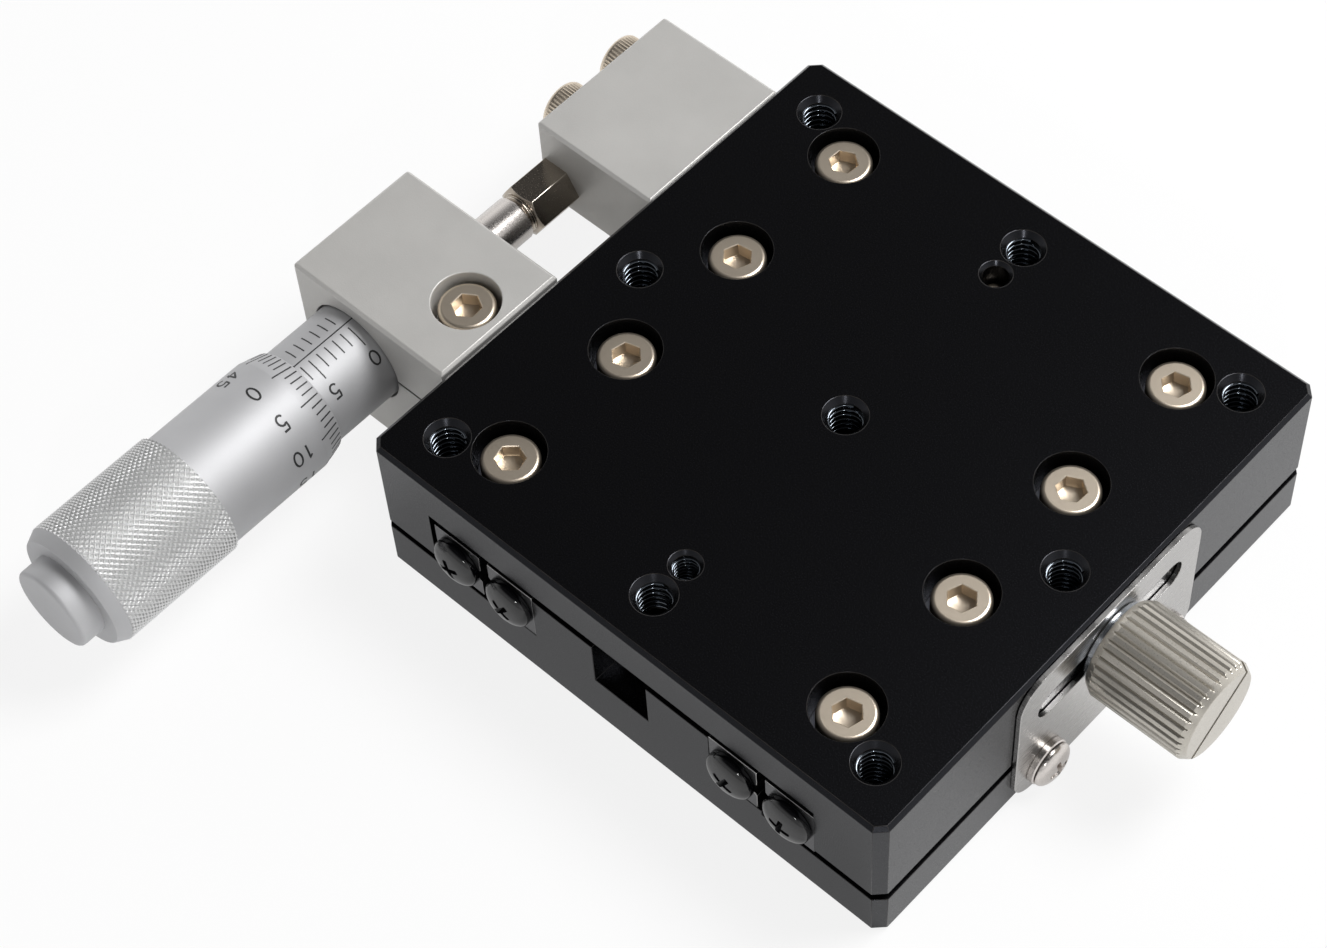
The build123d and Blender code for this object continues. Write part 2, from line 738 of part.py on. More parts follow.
# Clamp knob: bevelled at both ends, with a straight knurl and a slot across its outer end
knob_section = section(
    [
        (knob_x, 0),
        (knob_x, knob_face_radius),
        (knob_x + knob_bevel_length, knob_radius),
        (knob_end_x - knob_bevel_length, knob_radius),
        (knob_end_x, knob_face_radius),
        (knob_end_x, 0),
    ],
    clamp_plane,
)
with BuildPart() as clamp_knob:
    revolve(knob_section, axis=clamp_axis)
    with BuildSketch(Plane.YZ.offset(knob_x)):
        with Locations((0, clamp_z)):
            with PolarLocations(knob_radius, knob_ridges):
                Rectangle(knob_groove_side, knob_groove_side, rotation=45)
    extrude(amount=knob_length, mode=Mode.SUBTRACT)
    with BuildSketch(Plane.YZ.offset(knob_end_x)):
        with Locations((0, clamp_z)):
            Rectangle(2 * knob_radius, knob_slot_width, rotation=knob_slot_turn)
    extrude(amount=-knob_slot_depth, mode=Mode.SUBTRACT)
    with BuildSketch(Plane.YZ.offset(knob_x)):
        with Locations((0, clamp_z)):
            Circle(m3_thread)
    extrude(amount=stud_depth_in_knob, mode=Mode.SUBTRACT)

with BuildPart() as clamp_stud:
    with BuildSketch(Plane.YZ.offset(table_side - stud_depth_in_table)):
        with Locations((0, clamp_z)):
            Circle(m3_thread - thread_gap)
    extrude(amount=knob_x + stud_depth_in_knob - (table_side - stud_depth_in_table))

# Spring posts: one pressed into the channel's floor, one hanging from a small hole of the table
neck_bottom = spring_z - post_neck_height / 2
neck_top = spring_z + post_neck_height / 2
post_body = post_radius - thread_gap
with BuildPart() as spring_post_table:
    table_post_section = section(
        [
            (0, neck_bottom - post_head_height),
            (post_body, neck_bottom - post_head_height),
            (post_body, neck_bottom),
            (post_neck_radius, neck_bottom),
            (post_neck_radius, neck_top),
            (post_body, neck_top),
            (post_body, stage_height - table_post_drop),
            (0, stage_height - table_post_drop),
        ],
        Plane.XZ.offset(-table_post_y),
    )
    revolve(table_post_section, axis=Axis((0, table_post_y, 0), (0, 0, 1)))
    fillet(spring_post_table.edges().group_by(Axis.Z)[-1], post_body / 2)
with BuildPart() as spring_post_base:
    base_post_section = section(
        [
            (0, channel_floor - base_post_depth),
            (post_body, channel_floor - base_post_depth),
            (post_body, neck_bottom),
            (post_neck_radius, neck_bottom),
            (post_neck_radius, neck_top),
            (post_body, neck_top),
            (post_body, neck_top + post_head_height),
            (0, neck_top + post_head_height),
        ],
        Plane.XZ.offset(-base_post_y),
    )
    revolve(base_post_section, axis=Axis((0, base_post_y, 0), (0, 0, 1)))

# Return spring: the coil as a tube, with a hook round each post
with BuildPart() as return_spring:
    with BuildSketch(Plane.XZ.offset(-base_post_y - hook_length)):
        with Locations((0, spring_z)):
            Circle(spring_radius)
            Circle(spring_radius - spring_wire, mode=Mode.SUBTRACT)
    extrude(amount=-(table_post_y - base_post_y - 2 * hook_length))
    for post_y, wire_side, start_angle in ((base_post_y, 1, 0), (table_post_y, -1, 180)):
        wire_start_y = post_y + wire_side * (hook_length + spring_wire)
        with BuildLine(Plane.XY.offset(spring_z)):
            Line((wire_side * hook_radius, wire_start_y), (wire_side * hook_radius, post_y))
            CenterArc((0, post_y), hook_radius, start_angle, -hook_wrap)
        with BuildSketch(Plane.XZ.offset(-wire_start_y)):
            with Locations((wire_side * hook_radius, spring_z)):
                Circle(hook_wire_radius)
        sweep()

pieces = {
    "base_plate": base_plate,
    "inner_rail_left": inner_rail_left,
    "inner_rail_right": inner_rail_right,
    "base_rail_screws": base_rail_screws,
    "inner_rail_end_screws": inner_rail_end_screws,
    "micrometer_bracket": micrometer_bracket,
    "bracket_mount_screws": bracket_mount_screws,
    "bracket_clamp_screw": bracket_clamp_screw,
    "micrometer_body": micrometer_body,
    "graduated_sleeve": graduated_sleeve,
    "adjusting_nut": adjusting_nut,
    "clamp_plate": clamp_plate,
    "clamp_plate_screws": clamp_plate_screws,
    "spring_post_base": spring_post_base,
    "return_spring": return_spring,
    "table_plate": table_plate,
    "outer_rail_left": outer_rail_left,
    "outer_rail_right": outer_rail_right,
    "table_rail_screws": table_rail_screws,
    "outer_rail_end_screws": outer_rail_end_screws,
    "preload_screws": preload_screws,
    "anvil_block": anvil_block,
    "anvil_block_screws": anvil_block_screws,
    "anvil_bolt": anvil_bolt,
    "spring_post_table": spring_post_table,
    "left_cage_strip": left_cage_strip,
    "left_rollers": left_rollers,
    "right_cage_strip": right_cage_strip,
    "right_rollers": right_rollers,
    "spindle": spindle,
    "thimble": thimble,
    "drive_screw": drive_screw,
    "thimble_cap": thimble_cap,
    "clamp_washer": clamp_washer,
    "clamp_knob": clamp_knob,
    "clamp_stud": clamp_stud,
}
os.makedirs("parts", exist_ok=True)
for name, piece in pieces.items():
    piece.part.label = name
    export_step(piece.part, f"parts/{name}.step")
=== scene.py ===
# %% [markdown]
# # A manual linear stage
# This lesson dresses the solids of a small stage. The black table slides on crossed rollers, a
# micrometer pushes it from the left, and a knurled knob on the right clamps it. The solids are
# already right in size and place. What is added here is rounded edges, knurls, threads, scales,
# screw heads and finishes.

import json
import math
from functools import partial

import bmesh
import bpy
from mathutils import Matrix, Vector


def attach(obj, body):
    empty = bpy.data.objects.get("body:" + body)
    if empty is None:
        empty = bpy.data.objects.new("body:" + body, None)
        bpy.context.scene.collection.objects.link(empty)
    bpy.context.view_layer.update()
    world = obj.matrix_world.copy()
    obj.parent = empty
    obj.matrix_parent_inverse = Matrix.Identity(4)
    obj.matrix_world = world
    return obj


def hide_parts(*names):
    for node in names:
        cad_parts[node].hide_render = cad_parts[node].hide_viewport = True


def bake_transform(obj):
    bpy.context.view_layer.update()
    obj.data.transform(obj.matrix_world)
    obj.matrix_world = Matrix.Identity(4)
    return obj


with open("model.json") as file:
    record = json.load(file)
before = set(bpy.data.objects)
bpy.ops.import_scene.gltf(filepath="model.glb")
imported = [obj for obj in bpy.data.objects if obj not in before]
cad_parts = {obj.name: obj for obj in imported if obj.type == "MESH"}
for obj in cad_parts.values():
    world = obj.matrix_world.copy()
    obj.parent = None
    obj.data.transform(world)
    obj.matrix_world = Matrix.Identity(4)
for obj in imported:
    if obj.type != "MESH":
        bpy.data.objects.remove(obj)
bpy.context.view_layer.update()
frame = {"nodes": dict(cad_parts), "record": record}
nodes = frame["nodes"]
body_of_node = {
    node: body
    for body, members in frame["record"]["behaviour"]["bodies"].items()
    for node in members
}
slot_of_node = {part["node"]: part["material_slot"] for part in frame["record"]["subparts"]}
MM = 0.001

# %% [markdown]
# ## The camera
# The photograph was taken from above the front corner. The camera's turn is given as directions,
# so that nothing has to be aimed by hand. The lens is long (88 mm), which keeps the plates' edges
# nearly parallel, and a small shift to the side frames the stage as in the picture.

# %% Camera
camera_place = Vector((109.48, -126.68, 253.82)) * MM
camera_right = Vector((0.74982, 0.66157, -0.00986))
camera_up = Vector((-0.54213, 0.62284, 0.56406))
camera_back = camera_right.cross(camera_up)
camera_data = bpy.data.cameras.new("camera")
camera_data.sensor_width = 36.0
camera_data.lens = 88.28
camera_data.shift_x = -0.1029
camera_data.clip_start = 0.01
camera_data.clip_end = 20.0
camera = bpy.data.objects.new("camera", camera_data)
camera_turn = Matrix((camera_right, camera_up, camera_back)).transposed()
camera.matrix_world = Matrix.Translation(camera_place) @ camera_turn.to_4x4()
bpy.context.collection.objects.link(camera)
bpy.context.scene.camera = camera
print("camera looks along", [round(v, 3) for v in -camera_back])

# %% [markdown]
# ## Small helpers for node trees
# Shaders, Geometry Nodes and the sky are all trees of nodes joined by links. Five helpers keep
# them short to read.

# %% Helpers for nodes


def link(tree, source, target):
    """Join one node's socket to another's."""
    tree.links.new(source, target)


def add_node(tree, kind, inputs=None, **settings):
    """A new node with its settings; its inputs are numbers or sockets, named as on the node."""
    node = tree.nodes.new(kind)
    for name, value in settings.items():
        setattr(node, name, value)
    for name, value in (inputs or {}).items():
        if isinstance(value, bpy.types.NodeSocket):
            link(tree, value, node.inputs[name])
        else:
            node.inputs[name].default_value = value
    return node


def calc(tree, operation, *values):
    """One Math node on numbers or sockets, and its result."""
    node = add_node(tree, "ShaderNodeMath", operation=operation)
    for socket, value in zip(node.inputs, values):
        if isinstance(value, bpy.types.NodeSocket):
            link(tree, value, socket)
        else:
            socket.default_value = value
    return node.outputs[0]


def new_tree(kind, name, inputs, outputs):
    """An empty node group with sockets as (name, type), and the sockets that bring its inputs."""
    tree = bpy.data.node_groups.new(name, kind)
    for way, sockets in (("INPUT", inputs), ("OUTPUT", outputs)):
        for label, socket_type in sockets:
            tree.interface.new_socket(label, in_out=way, socket_type=socket_type)
    return tree, tree.nodes.new("NodeGroupInput").outputs


def mix_shaders(tree, share, first, second):
    """A Mix Shader node, whose two shader sockets have the same name, and its result."""
    node = add_node(tree, "ShaderNodeMixShader", {"Fac": share})
    link(tree, first, node.inputs[1])
    link(tree, second, node.inputs[2])
    return node.outputs[0]


print("helpers ready")

# %% [markdown]
# ## Sky, lamps and floor
# Polished screws and black anodising mirror what stands round them. The photograph has a white
# sweep below and around the stage and a dark room overhead, so the sky is white up to about a
# third of the way, dark above, and dimmer on the viewer's side. The camera itself sees it plain
# white. A big soft lamp behind the stage's right shoulder lights its upper and right faces, and
# a small one near the camera puts the glints on screws and threads.

# %% Sky
WHITE, OVERHEAD_DARK = (1.0, 1.0, 1.0, 1), (0.05, 0.05, 0.052, 1)
WHITE_UP_TO, DARK_FROM = 0.34, 0.72
FRONT_SHARE, FRONT_FULL, BACK_FROM = 0.6, -0.8, 0.2
scene = bpy.context.scene
scene.view_settings.view_transform = "Standard"
world = bpy.data.worlds.new("studio")
scene.world = world
world.use_nodes = True
sky = world.node_tree
sky.nodes.clear()
direction = add_node(sky, "ShaderNodeTexCoord")
split = add_node(sky, "ShaderNodeSeparateXYZ", {"Vector": direction.outputs["Generated"]})
height_ramp = add_node(sky, "ShaderNodeValToRGB", {"Fac": split.outputs["Z"]})
low_stop, high_stop = height_ramp.color_ramp.elements
low_stop.position, low_stop.color = WHITE_UP_TO, WHITE
high_stop.position, high_stop.color = DARK_FROM, OVERHEAD_DARK
front_dimming = add_node(sky, "ShaderNodeMapRange", {
    "Value": split.outputs["Y"], "From Min": FRONT_FULL, "From Max": BACK_FROM,
    "To Min": FRONT_SHARE, "To Max": 1.0,
})
room = add_node(sky, "ShaderNodeBackground", {
    "Color": height_ramp.outputs["Color"], "Strength": front_dimming.outputs[0],
})
backdrop = add_node(sky, "ShaderNodeBackground", {"Color": WHITE, "Strength": 1.0})
camera_looks = add_node(sky, "ShaderNodeLightPath").outputs["Is Camera Ray"]
seen = mix_shaders(sky, camera_looks, room.outputs[0], backdrop.outputs[0])
add_node(sky, "ShaderNodeOutputWorld", {"Surface": seen})
print("sky is white up to", WHITE_UP_TO, "and dark from", DARK_FROM)

# %% Lamps
STAGE_MIDDLE = Vector((-5, -5, 9)) * MM


def soft_lamp(name, place_mm, side_mm, watts):
    """A square area lamp that faces the stage."""
    data = bpy.data.lights.new(name, "AREA")
    data.shape, data.size, data.energy = "SQUARE", side_mm * MM, watts
    lamp = bpy.data.objects.new(name, data)
    lamp.location = Vector(place_mm) * MM
    lamp.rotation_mode = "QUATERNION"
    lamp.rotation_quaternion = (STAGE_MIDDLE - lamp.location).to_track_quat("-Z", "Y")
    bpy.context.collection.objects.link(lamp)
    print(name, watts, "W")


soft_lamp("shoulder_lamp", place_mm=(150, 250, 520), side_mm=260, watts=3.3)
soft_lamp("glint_lamp", place_mm=(334, -367, 338), side_mm=30, watts=0.32)

# %% [markdown]
# The floor is white paper. For the camera most of its colour is plain white, so that it reads as
# the photograph's white sweep and still keeps a soft shadow. Rays off the stage's glossy sides
# see less of that white, so the front, which mirrors the shadow before it, stays darker than the
# right side. The paper lies a hair below the stage and can be seen through from below.

# %% Floor
FLOOR_REACH, FLOOR_DROP = 3.0, 0.02 * MM
PAPER_WHITE, PAPER_ROUGHNESS, SEEN_WHITE, MIRRORED_WHITE = (0.9, 0.9, 0.9, 1), 0.8, 0.85, 0.45
floor_corners = [
    (x * FLOOR_REACH, y * FLOOR_REACH, -FLOOR_DROP) for x, y in ((-1, -1), (1, -1), (1, 1), (-1, 1))
]
floor_mesh = bpy.data.meshes.new("floor")
floor_mesh.from_pydata(floor_corners, [], [(0, 1, 2, 3)])
floor = bpy.data.objects.new("floor", floor_mesh)
bpy.context.collection.objects.link(floor)
floor_material = bpy.data.materials.new("white_sweep")
floor_material.use_nodes = True
paper = floor_material.node_tree
paper_shader = paper.nodes["Principled BSDF"]
paper_shader.inputs["Base Color"].default_value = PAPER_WHITE
paper_shader.inputs["Roughness"].default_value = PAPER_ROUGHNESS
looks = add_node(paper, "ShaderNodeLightPath").outputs
mirrored = calc(paper, "MAXIMUM", looks["Is Glossy Ray"], looks["Is Transmission Ray"])
white_share = calc(paper, "MULTIPLY", mirrored, MIRRORED_WHITE)
white_share = calc(paper, "MULTIPLY_ADD", looks["Is Camera Ray"], SEEN_WHITE, white_share)
plain_white = add_node(paper, "ShaderNodeEmission", {"Color": WHITE, "Strength": 1.0})
seen_paper = mix_shaders(paper, white_share, paper_shader.outputs[0], plain_white.outputs[0])
from_below = add_node(paper, "ShaderNodeNewGeometry").outputs["Backfacing"]
clear = add_node(paper, "ShaderNodeBsdfTransparent").outputs[0]
sheet = mix_shaders(paper, from_below, seen_paper, clear)
link(paper, sheet, paper.nodes["Material Output"].inputs["Surface"])
floor_mesh.materials.append(floor_material)
print("floor laid", FLOOR_DROP / MM, "mm below the stage")

# %% [markdown]
# ## Effects that several finishes share
# Three effects come back in many finishes: bare metal where an edge has lost its coating, a fine
# grain that breaks up a flat colour, and the straight lines that a brush or a lathe leaves. Each
# is a node group that puts out only colours or masks. The Principled shader stays in the
# material itself.

# %% Groups for edge wear, grain and brushed lines
SHADER = "ShaderNodeTree"
FLOAT, COLOR, VECTOR = "NodeSocketFloat", "NodeSocketColor", "NodeSocketVector"
RUBS_PER_METRE, CLOUDS_PER_METRE = 900.0, 160.0


def noise(tree, scale, detail, place=None):
    """Noise over the piece's own coordinates, or over a place that is given."""
    if place is None:
        place = add_node(tree, "ShaderNodeTexCoord").outputs["Object"]
    inputs = {"Vector": place, "Scale": scale, "Detail": detail}
    return add_node(tree, "ShaderNodeTexNoise", inputs).outputs["Fac"]


edge_wear, wear_in = new_tree(
    SHADER, "edge_wear", [("Clean", COLOR), ("Worn", COLOR)], [("Color", COLOR)]
)
on_edge = add_node(edge_wear, "ShaderNodeAttribute", attribute_name="edge")
rubbing = noise(edge_wear, RUBS_PER_METRE, detail=3.0)
rubbed = calc(edge_wear, "MULTIPLY", on_edge.outputs["Fac"], rubbing)
wear_mix = add_node(edge_wear, "ShaderNodeMix", {
    "Factor": rubbed, "A": wear_in["Clean"], "B": wear_in["Worn"],
}, data_type="RGBA")
add_node(edge_wear, "NodeGroupOutput", {"Color": wear_mix.outputs["Result"]})

fine_grain, grain_in = new_tree(
    SHADER, "fine_grain", [("Grains per metre", FLOAT)], [("Mask", FLOAT), ("Cloud", FLOAT)]
)
add_node(fine_grain, "NodeGroupOutput", {
    "Mask": noise(fine_grain, grain_in["Grains per metre"], detail=2.0),
    "Cloud": noise(fine_grain, CLOUDS_PER_METRE, detail=4.0),
})

brushed_lines, brush_in = new_tree(
    SHADER, "brushed_lines", [("Lines per metre", VECTOR)], [("Mask", FLOAT)]
)
stretched = add_node(brushed_lines, "ShaderNodeVectorMath", operation="MULTIPLY")
brush_place = add_node(brushed_lines, "ShaderNodeTexCoord").outputs["Object"]
link(brushed_lines, brush_place, stretched.inputs[0])
link(brushed_lines, brush_in["Lines per metre"], stretched.inputs[1])
add_node(brushed_lines, "NodeGroupOutput", {
    "Mask": noise(brushed_lines, 1.0, detail=3.0, place=stretched.outputs[0]),
})
print("groups", [group.name for group in bpy.data.node_groups])

# %% [markdown]
# ## The finishes
# Every finish is a Principled shader with its own colour, a slightly lighter and darker cloud in
# it, grain in its roughness and a very shallow bump. The plates are black anodised, the blocks
# are satin blasted, the micrometer is satin chrome, the screws are warm nickel.

# %% A helper that builds a finish
MICROMETRE, CLOUD_SWING, MASK_LOW, MASK_HIGH = 1e-6, 0.1, 0.3, 0.7


def finish(
    name, color, metallic, roughness, worn, grains,
    spread=0.06, bump_um=1.0, lines=None, ior=1.5, glance=(1, 1, 1),
):
    """A material: a colour with clouds and worn edges, and grain or brushed lines in its gloss."""
    material = bpy.data.materials.new(name)
    material.use_nodes = True
    tree = material.node_tree
    shader = tree.nodes["Principled BSDF"]
    shader.inputs["Metallic"].default_value = metallic
    shader.inputs["IOR"].default_value = ior
    shader.inputs["Specular Tint"].default_value = (*glance, 1)
    grain = add_node(tree, "ShaderNodeGroup", {"Grains per metre": grains}, node_tree=fine_grain)
    fine = grain.outputs["Mask"]
    if lines:
        given = {"Lines per metre": lines}
        fine = add_node(tree, "ShaderNodeGroup", given, node_tree=brushed_lines).outputs["Mask"]
    clouded = add_node(tree, "ShaderNodeMix", {
        "Factor": grain.outputs["Cloud"],
        "A": (*[value * (1 - CLOUD_SWING) for value in color], 1),
        "B": (*[min(value * (1 + CLOUD_SWING), 1) for value in color], 1),
    }, data_type="RGBA")
    wear = add_node(tree, "ShaderNodeGroup", {
        "Clean": clouded.outputs["Result"], "Worn": (*worn, 1),
    }, node_tree=edge_wear)
    gloss = add_node(tree, "ShaderNodeMapRange", {
        "Value": fine, "From Min": MASK_LOW, "From Max": MASK_HIGH,
        "To Min": roughness - spread, "To Max": roughness + spread,
    })
    bump = add_node(tree, "ShaderNodeBump", {
        "Height": fine, "Distance": bump_um * MICROMETRE, "Strength": 1.0,
    })
    link(tree, wear.outputs["Color"], shader.inputs["Base Color"])
    link(tree, gloss.outputs[0], shader.inputs["Roughness"])
    link(tree, bump.outputs["Normal"], shader.inputs["Normal"])
    return material


print("a cloud changes a colour by", CLOUD_SWING, "either way")

# %% The finishes: colour, metallic, roughness, worn colour, grains per metre, and options
SMOOTH, TURNED_SMOOTH = dict(spread=0.02, bump_um=0.3), dict(spread=0.03, bump_um=0.3)
finishes = {name: finish(name, *values, **options) for name, *values, options in (
    ("black_anodised", (0.0016, 0.0015, 0.0016), 0.0, 0.24, (0.05, 0.045, 0.04), 9000,
     dict(ior=1.38, glance=(0.84, 0.87, 1.0))),
    ("rail_steel", (0.115, 0.115, 0.12), 1.0, 0.3, (0.75, 0.74, 0.72), 6000,
     dict(lines=(9000, 200, 9000))),
    ("cage_metal", (0.5, 0.38, 0.2), 1.0, 0.38, (0.7, 0.58, 0.35), 7000, {}),
    ("black_screws", (0.003, 0.003, 0.004), 0.0, 0.12, (0.2, 0.2, 0.2), 7000,
     dict(ior=1.6, **SMOOTH)),
    ("bright_screws", (0.76, 0.66, 0.535), 0.95, 0.34, (0.95, 0.9, 0.8), 8000, SMOOTH),
    # The anvil bolt's nickel is the screws' nickel painted darker: painted shade for the dark room
    # that its faces mirror.
    ("dark_nickel", (0.42, 0.37, 0.31), 1.0, 0.22, (0.9, 0.84, 0.75), 8000, {}),
    ("zinc_washer", (0.5, 0.53, 0.57), 1.0, 0.22, (0.8, 0.82, 0.85), 8000, {}),
    ("ground_steel", (0.66, 0.62, 0.59), 1.0, 0.24, (0.8, 0.78, 0.75), 8000, {}),
    ("tapped_metal", (0.13, 0.145, 0.165), 1.0, 0.14, (0.4, 0.4, 0.42), 8000, SMOOTH),
    ("pale_blocks", (0.56, 0.55, 0.53), 0.5, 0.5, (0.6, 0.59, 0.57), 9000, dict(bump_um=8)),
    ("satin_chrome", (0.52, 0.52, 0.53), 0.6, 0.6, (0.8, 0.8, 0.8), 14000, dict(spread=0.03)),
    ("knurled_chrome", (0.7, 0.7, 0.7), 0.7, 0.36, (0.8, 0.8, 0.8), 14000, TURNED_SMOOTH),
    ("sheet_steel", (0.44, 0.43, 0.42), 1.0, 0.28, (0.55, 0.54, 0.53), 5000,
     dict(lines=(500, 500, 14000))),
    ("knob_metal", (0.54, 0.51, 0.455), 0.75, 0.3, (0.8, 0.76, 0.7), 9000, TURNED_SMOOTH),
    ("spring_wire", (0.5, 0.5, 0.5), 1.0, 0.3, (0.7, 0.7, 0.7), 9000, {}),
    ("scale_ink", (0.02, 0.02, 0.021), 0.0, 0.5, (0.02, 0.02, 0.02), 9000, {}),
)}
for name, slot in slot_of_node.items():
    nodes[name].data.materials.clear()
    nodes[name].data.materials.append(finishes[slot])
print("finishes", len(finishes))

# %% [markdown]
# ## Breaking the edges
# No machined edge is truly sharp: the smallest rounding catches light along the whole edge. A
# solid's mesh is loose triangles, so a copy is merged first, flat faces are joined, and the
# Bevel modifier rounds the sharp edges. It also marks the new faces with the second material
# slot, which becomes an attribute that the finishes read as worn edge.

# %% Helpers for plain meshes
# Angles in degrees: faces within FLAT are joined, edges over SHARP are rounded, and shading runs
# on over edges under PLAIN_SMOOTH, or under ROUNDED_SMOOTH beside a rounded face.
FLAT, SHARP, PLAIN_SMOOTH, ROUNDED_SMOOTH = 0.5, 30, 18, 50
MERGE_DISTANCE = 0.0005 * MM


def settle(piece, smooth_under=PLAIN_SMOOTH):
    """Turn a piece's modifiers into a plain mesh, smooth over angles under so many degrees."""
    depsgraph = bpy.context.evaluated_depsgraph_get()
    mesh = bpy.data.meshes.new_from_object(
        piece.evaluated_get(depsgraph), preserve_all_data_layers=True, depsgraph=depsgraph
    )
    piece.modifiers.clear()
    piece.data = mesh
    mesh.name = piece.name
    mesh.shade_smooth()
    mesh.set_sharp_from_angle(angle=math.radians(smooth_under))
    return piece


def new_piece(name, mesh, slot):
    """A linked object for a mesh, with its finish."""
    piece = bpy.data.objects.new(name, mesh)
    bpy.context.collection.objects.link(piece)
    mesh.materials.clear()
    mesh.materials.append(finishes[slot])
    return piece


def mesh_from(name, points_mm, edges=(), faces=()):
    """A mesh from points in mm."""
    mesh = bpy.data.meshes.new(name)
    mesh.from_pydata([Vector(point) * MM for point in points_mm], edges, faces)
    return mesh


def place_on(piece, *replaced, body=None, slot=None):
    """Let a finished piece ride on its body and stand for the solids that it replaces."""
    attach(piece, body or body_of_node[replaced[0]])
    if replaced:
        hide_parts(*replaced)
    return piece


def merged_copy(node_name):
    """The solid's mesh with its triangles joined into whole faces."""
    shape = bmesh.new()
    shape.from_mesh(nodes[node_name].data)
    bmesh.ops.remove_doubles(shape, verts=shape.verts, dist=MERGE_DISTANCE)
    bmesh.ops.dissolve_limit(
        shape, angle_limit=math.radians(FLAT), verts=shape.verts, edges=shape.edges
    )
    mesh = bpy.data.meshes.new(node_name + "_worked")
    shape.to_mesh(mesh)
    shape.free()
    return mesh


def break_edges(node_name, width_mm, look):
    """Replace a solid by a merged copy with rounded edges, marked by the attribute edge."""
    piece = new_piece(node_name + "_worked", merged_copy(node_name), look)
    piece.data.materials.append(finishes[look])
    bevel = piece.modifiers.new("broken_edges", "BEVEL")
    bevel.width = width_mm * MM
    bevel.segments = 2
    bevel.limit_method = "ANGLE"
    bevel.angle_limit = math.radians(SHARP)
    bevel.material = 1
    mesh = settle(piece).data
    shape = bmesh.new()
    shape.from_mesh(mesh)
    for line in shape.edges:
        kinds = {face.material_index for face in line.link_faces}
        limit = ROUNDED_SMOOTH if 1 in kinds else PLAIN_SMOOTH
        line.smooth = len(kinds) == 1 and line.calc_face_angle(0) < math.radians(limit)
    shape.to_mesh(mesh)
    shape.free()
    edge = mesh.attributes.new("edge", "FLOAT", "FACE")
    edge.data.foreach_set("value", [float(face.material_index) for face in mesh.polygons])
    mesh.polygons.foreach_set("material_index", [0] * len(mesh.polygons))
    mesh.materials.pop()
    return place_on(piece, node_name)


print("helpers for meshes ready")

# %% Plates, rails, blocks and small turned pieces
EDGE_WIDTHS = {
    "base_plate": 0.08, "table_plate": 0.08,
    "inner_rail_left": 0.22, "inner_rail_right": 0.22,
    "outer_rail_left": 0.22, "outer_rail_right": 0.22,
    "micrometer_bracket": 0.08, "anvil_block": 0.08,
    "clamp_plate": 0.05, "clamp_washer": 0.12,
    "anvil_bolt": 0.07, "spring_post_base": 0.06, "spring_post_table": 0.06,
    "left_cage_strip": 0.05, "right_cage_strip": 0.05,
    "left_rollers": 0.1, "right_rollers": 0.1,
}
# The anvil bolt takes the darker nickel, whose colour holds painted shade.
OWN_LOOKS = {"anvil_bolt": "dark_nickel", "clamp_washer": "zinc_washer"}
for name, width in EDGE_WIDTHS.items():
    worked = break_edges(name, width, OWN_LOOKS.get(name, slot_of_node[name]))
    print(worked.name, len(worked.data.polygons), "faces")

# %% [markdown]
# ## Turned pieces
# A screw head, a knob or a sleeve is a stack of rings round an axis. A ring's radius may change
# with the angle, which is enough for a hexagon socket, a cross recess or a straight knurl. A
# stack that starts and ends on the axis is a solid, and any other closes on itself as a tube.

# %% A solid from rings


def ring_solid(name, rings, steps=128, smooth_under=30):
    """A closed mesh round Z from (radius, height) rings in mm, with the first ones lowest.

    A radius may be a function of the angle, and a height a function of the radius there.
    """
    tube = rings[0][0] != 0
    middle = rings if tube else rings[1:-1]
    points = []
    for radius, height in middle:
        for number in range(steps):
            angle = 2 * math.pi * number / steps
            reach = radius(angle) if callable(radius) else radius
            level = height(reach) if callable(height) else height
            points.append((reach * math.cos(angle), reach * math.sin(angle), level))
    # Index n - steps is point n again, and 0 after the last one, so the faces close the round.
    rows = [range(ring * steps, (ring + 1) * steps) for ring in range(len(middle))]
    faces = [
        [low[n], low[n + 1 - steps], high[n + 1 - steps], high[n]]
        for low, high in zip(rows, rows[1:] + rows[:tube]) for n in range(steps)
    ]
    if not tube:
        foot, top = len(points), len(points) + 1
        points += [(0, 0, rings[0][1]), (0, 0, rings[-1][1])]
        for n in range(steps):
            faces.append([rows[0][n + 1 - steps], rows[0][n], foot])
            faces.append([rows[-1][n], rows[-1][n + 1 - steps], top])
    mesh = mesh_from(name, points, faces=faces)
    mesh.shade_smooth()
    mesh.set_sharp_from_angle(angle=math.radians(smooth_under))
    return mesh


def standing(place_mm, across, outward):
    """The place and turn that send a piece's own X along across and its Z along outward."""
    x_way, z_way = Vector(across), Vector(outward)
    turn = Matrix((x_way, z_way.cross(x_way), z_way)).transposed().to_4x4()
    return Matrix.Translation(Vector(place_mm) * MM) @ turn


print("ring helper ready")

# %% [markdown]
# ## Building with Geometry Nodes
# Screws in rows, threads, knurls and scale lines repeat one small shape by a rule, and that is
# what Geometry Nodes are for. A tree takes named sizes, its modifier makes the geometry, and the
# result is settled into a plain mesh. Every tree ends in Realize Instances, because instances
# are lost when a model is exported, and in Set Material.

# %% Helpers for geometry trees
INT, GEOMETRY, MATERIAL = "NodeSocketInt", "NodeSocketGeometry", "NodeSocketMaterial"


def geometry_tree(name, *inputs):
    """A tree with geometry in and out, and its other inputs given as (name, type)."""
    shape = ("Geometry", GEOMETRY)
    return new_tree("GeometryNodeTree", name, [shape, *inputs], [shape])


def end_tree(tree, geometry, given):
    """Close a tree: no instances are left in it, and its faces get their material."""
    whole = add_node(tree, "GeometryNodeRealizeInstances", {"Geometry": geometry}).outputs[0]
    painted = add_node(
        tree, "GeometryNodeSetMaterial", {"Geometry": whole, "Material": given["Material"]}
    )
    add_node(tree, "NodeGroupOutput", {"Geometry": painted.outputs[0]})
    print(tree.name, "has", len(tree.nodes), "nodes")


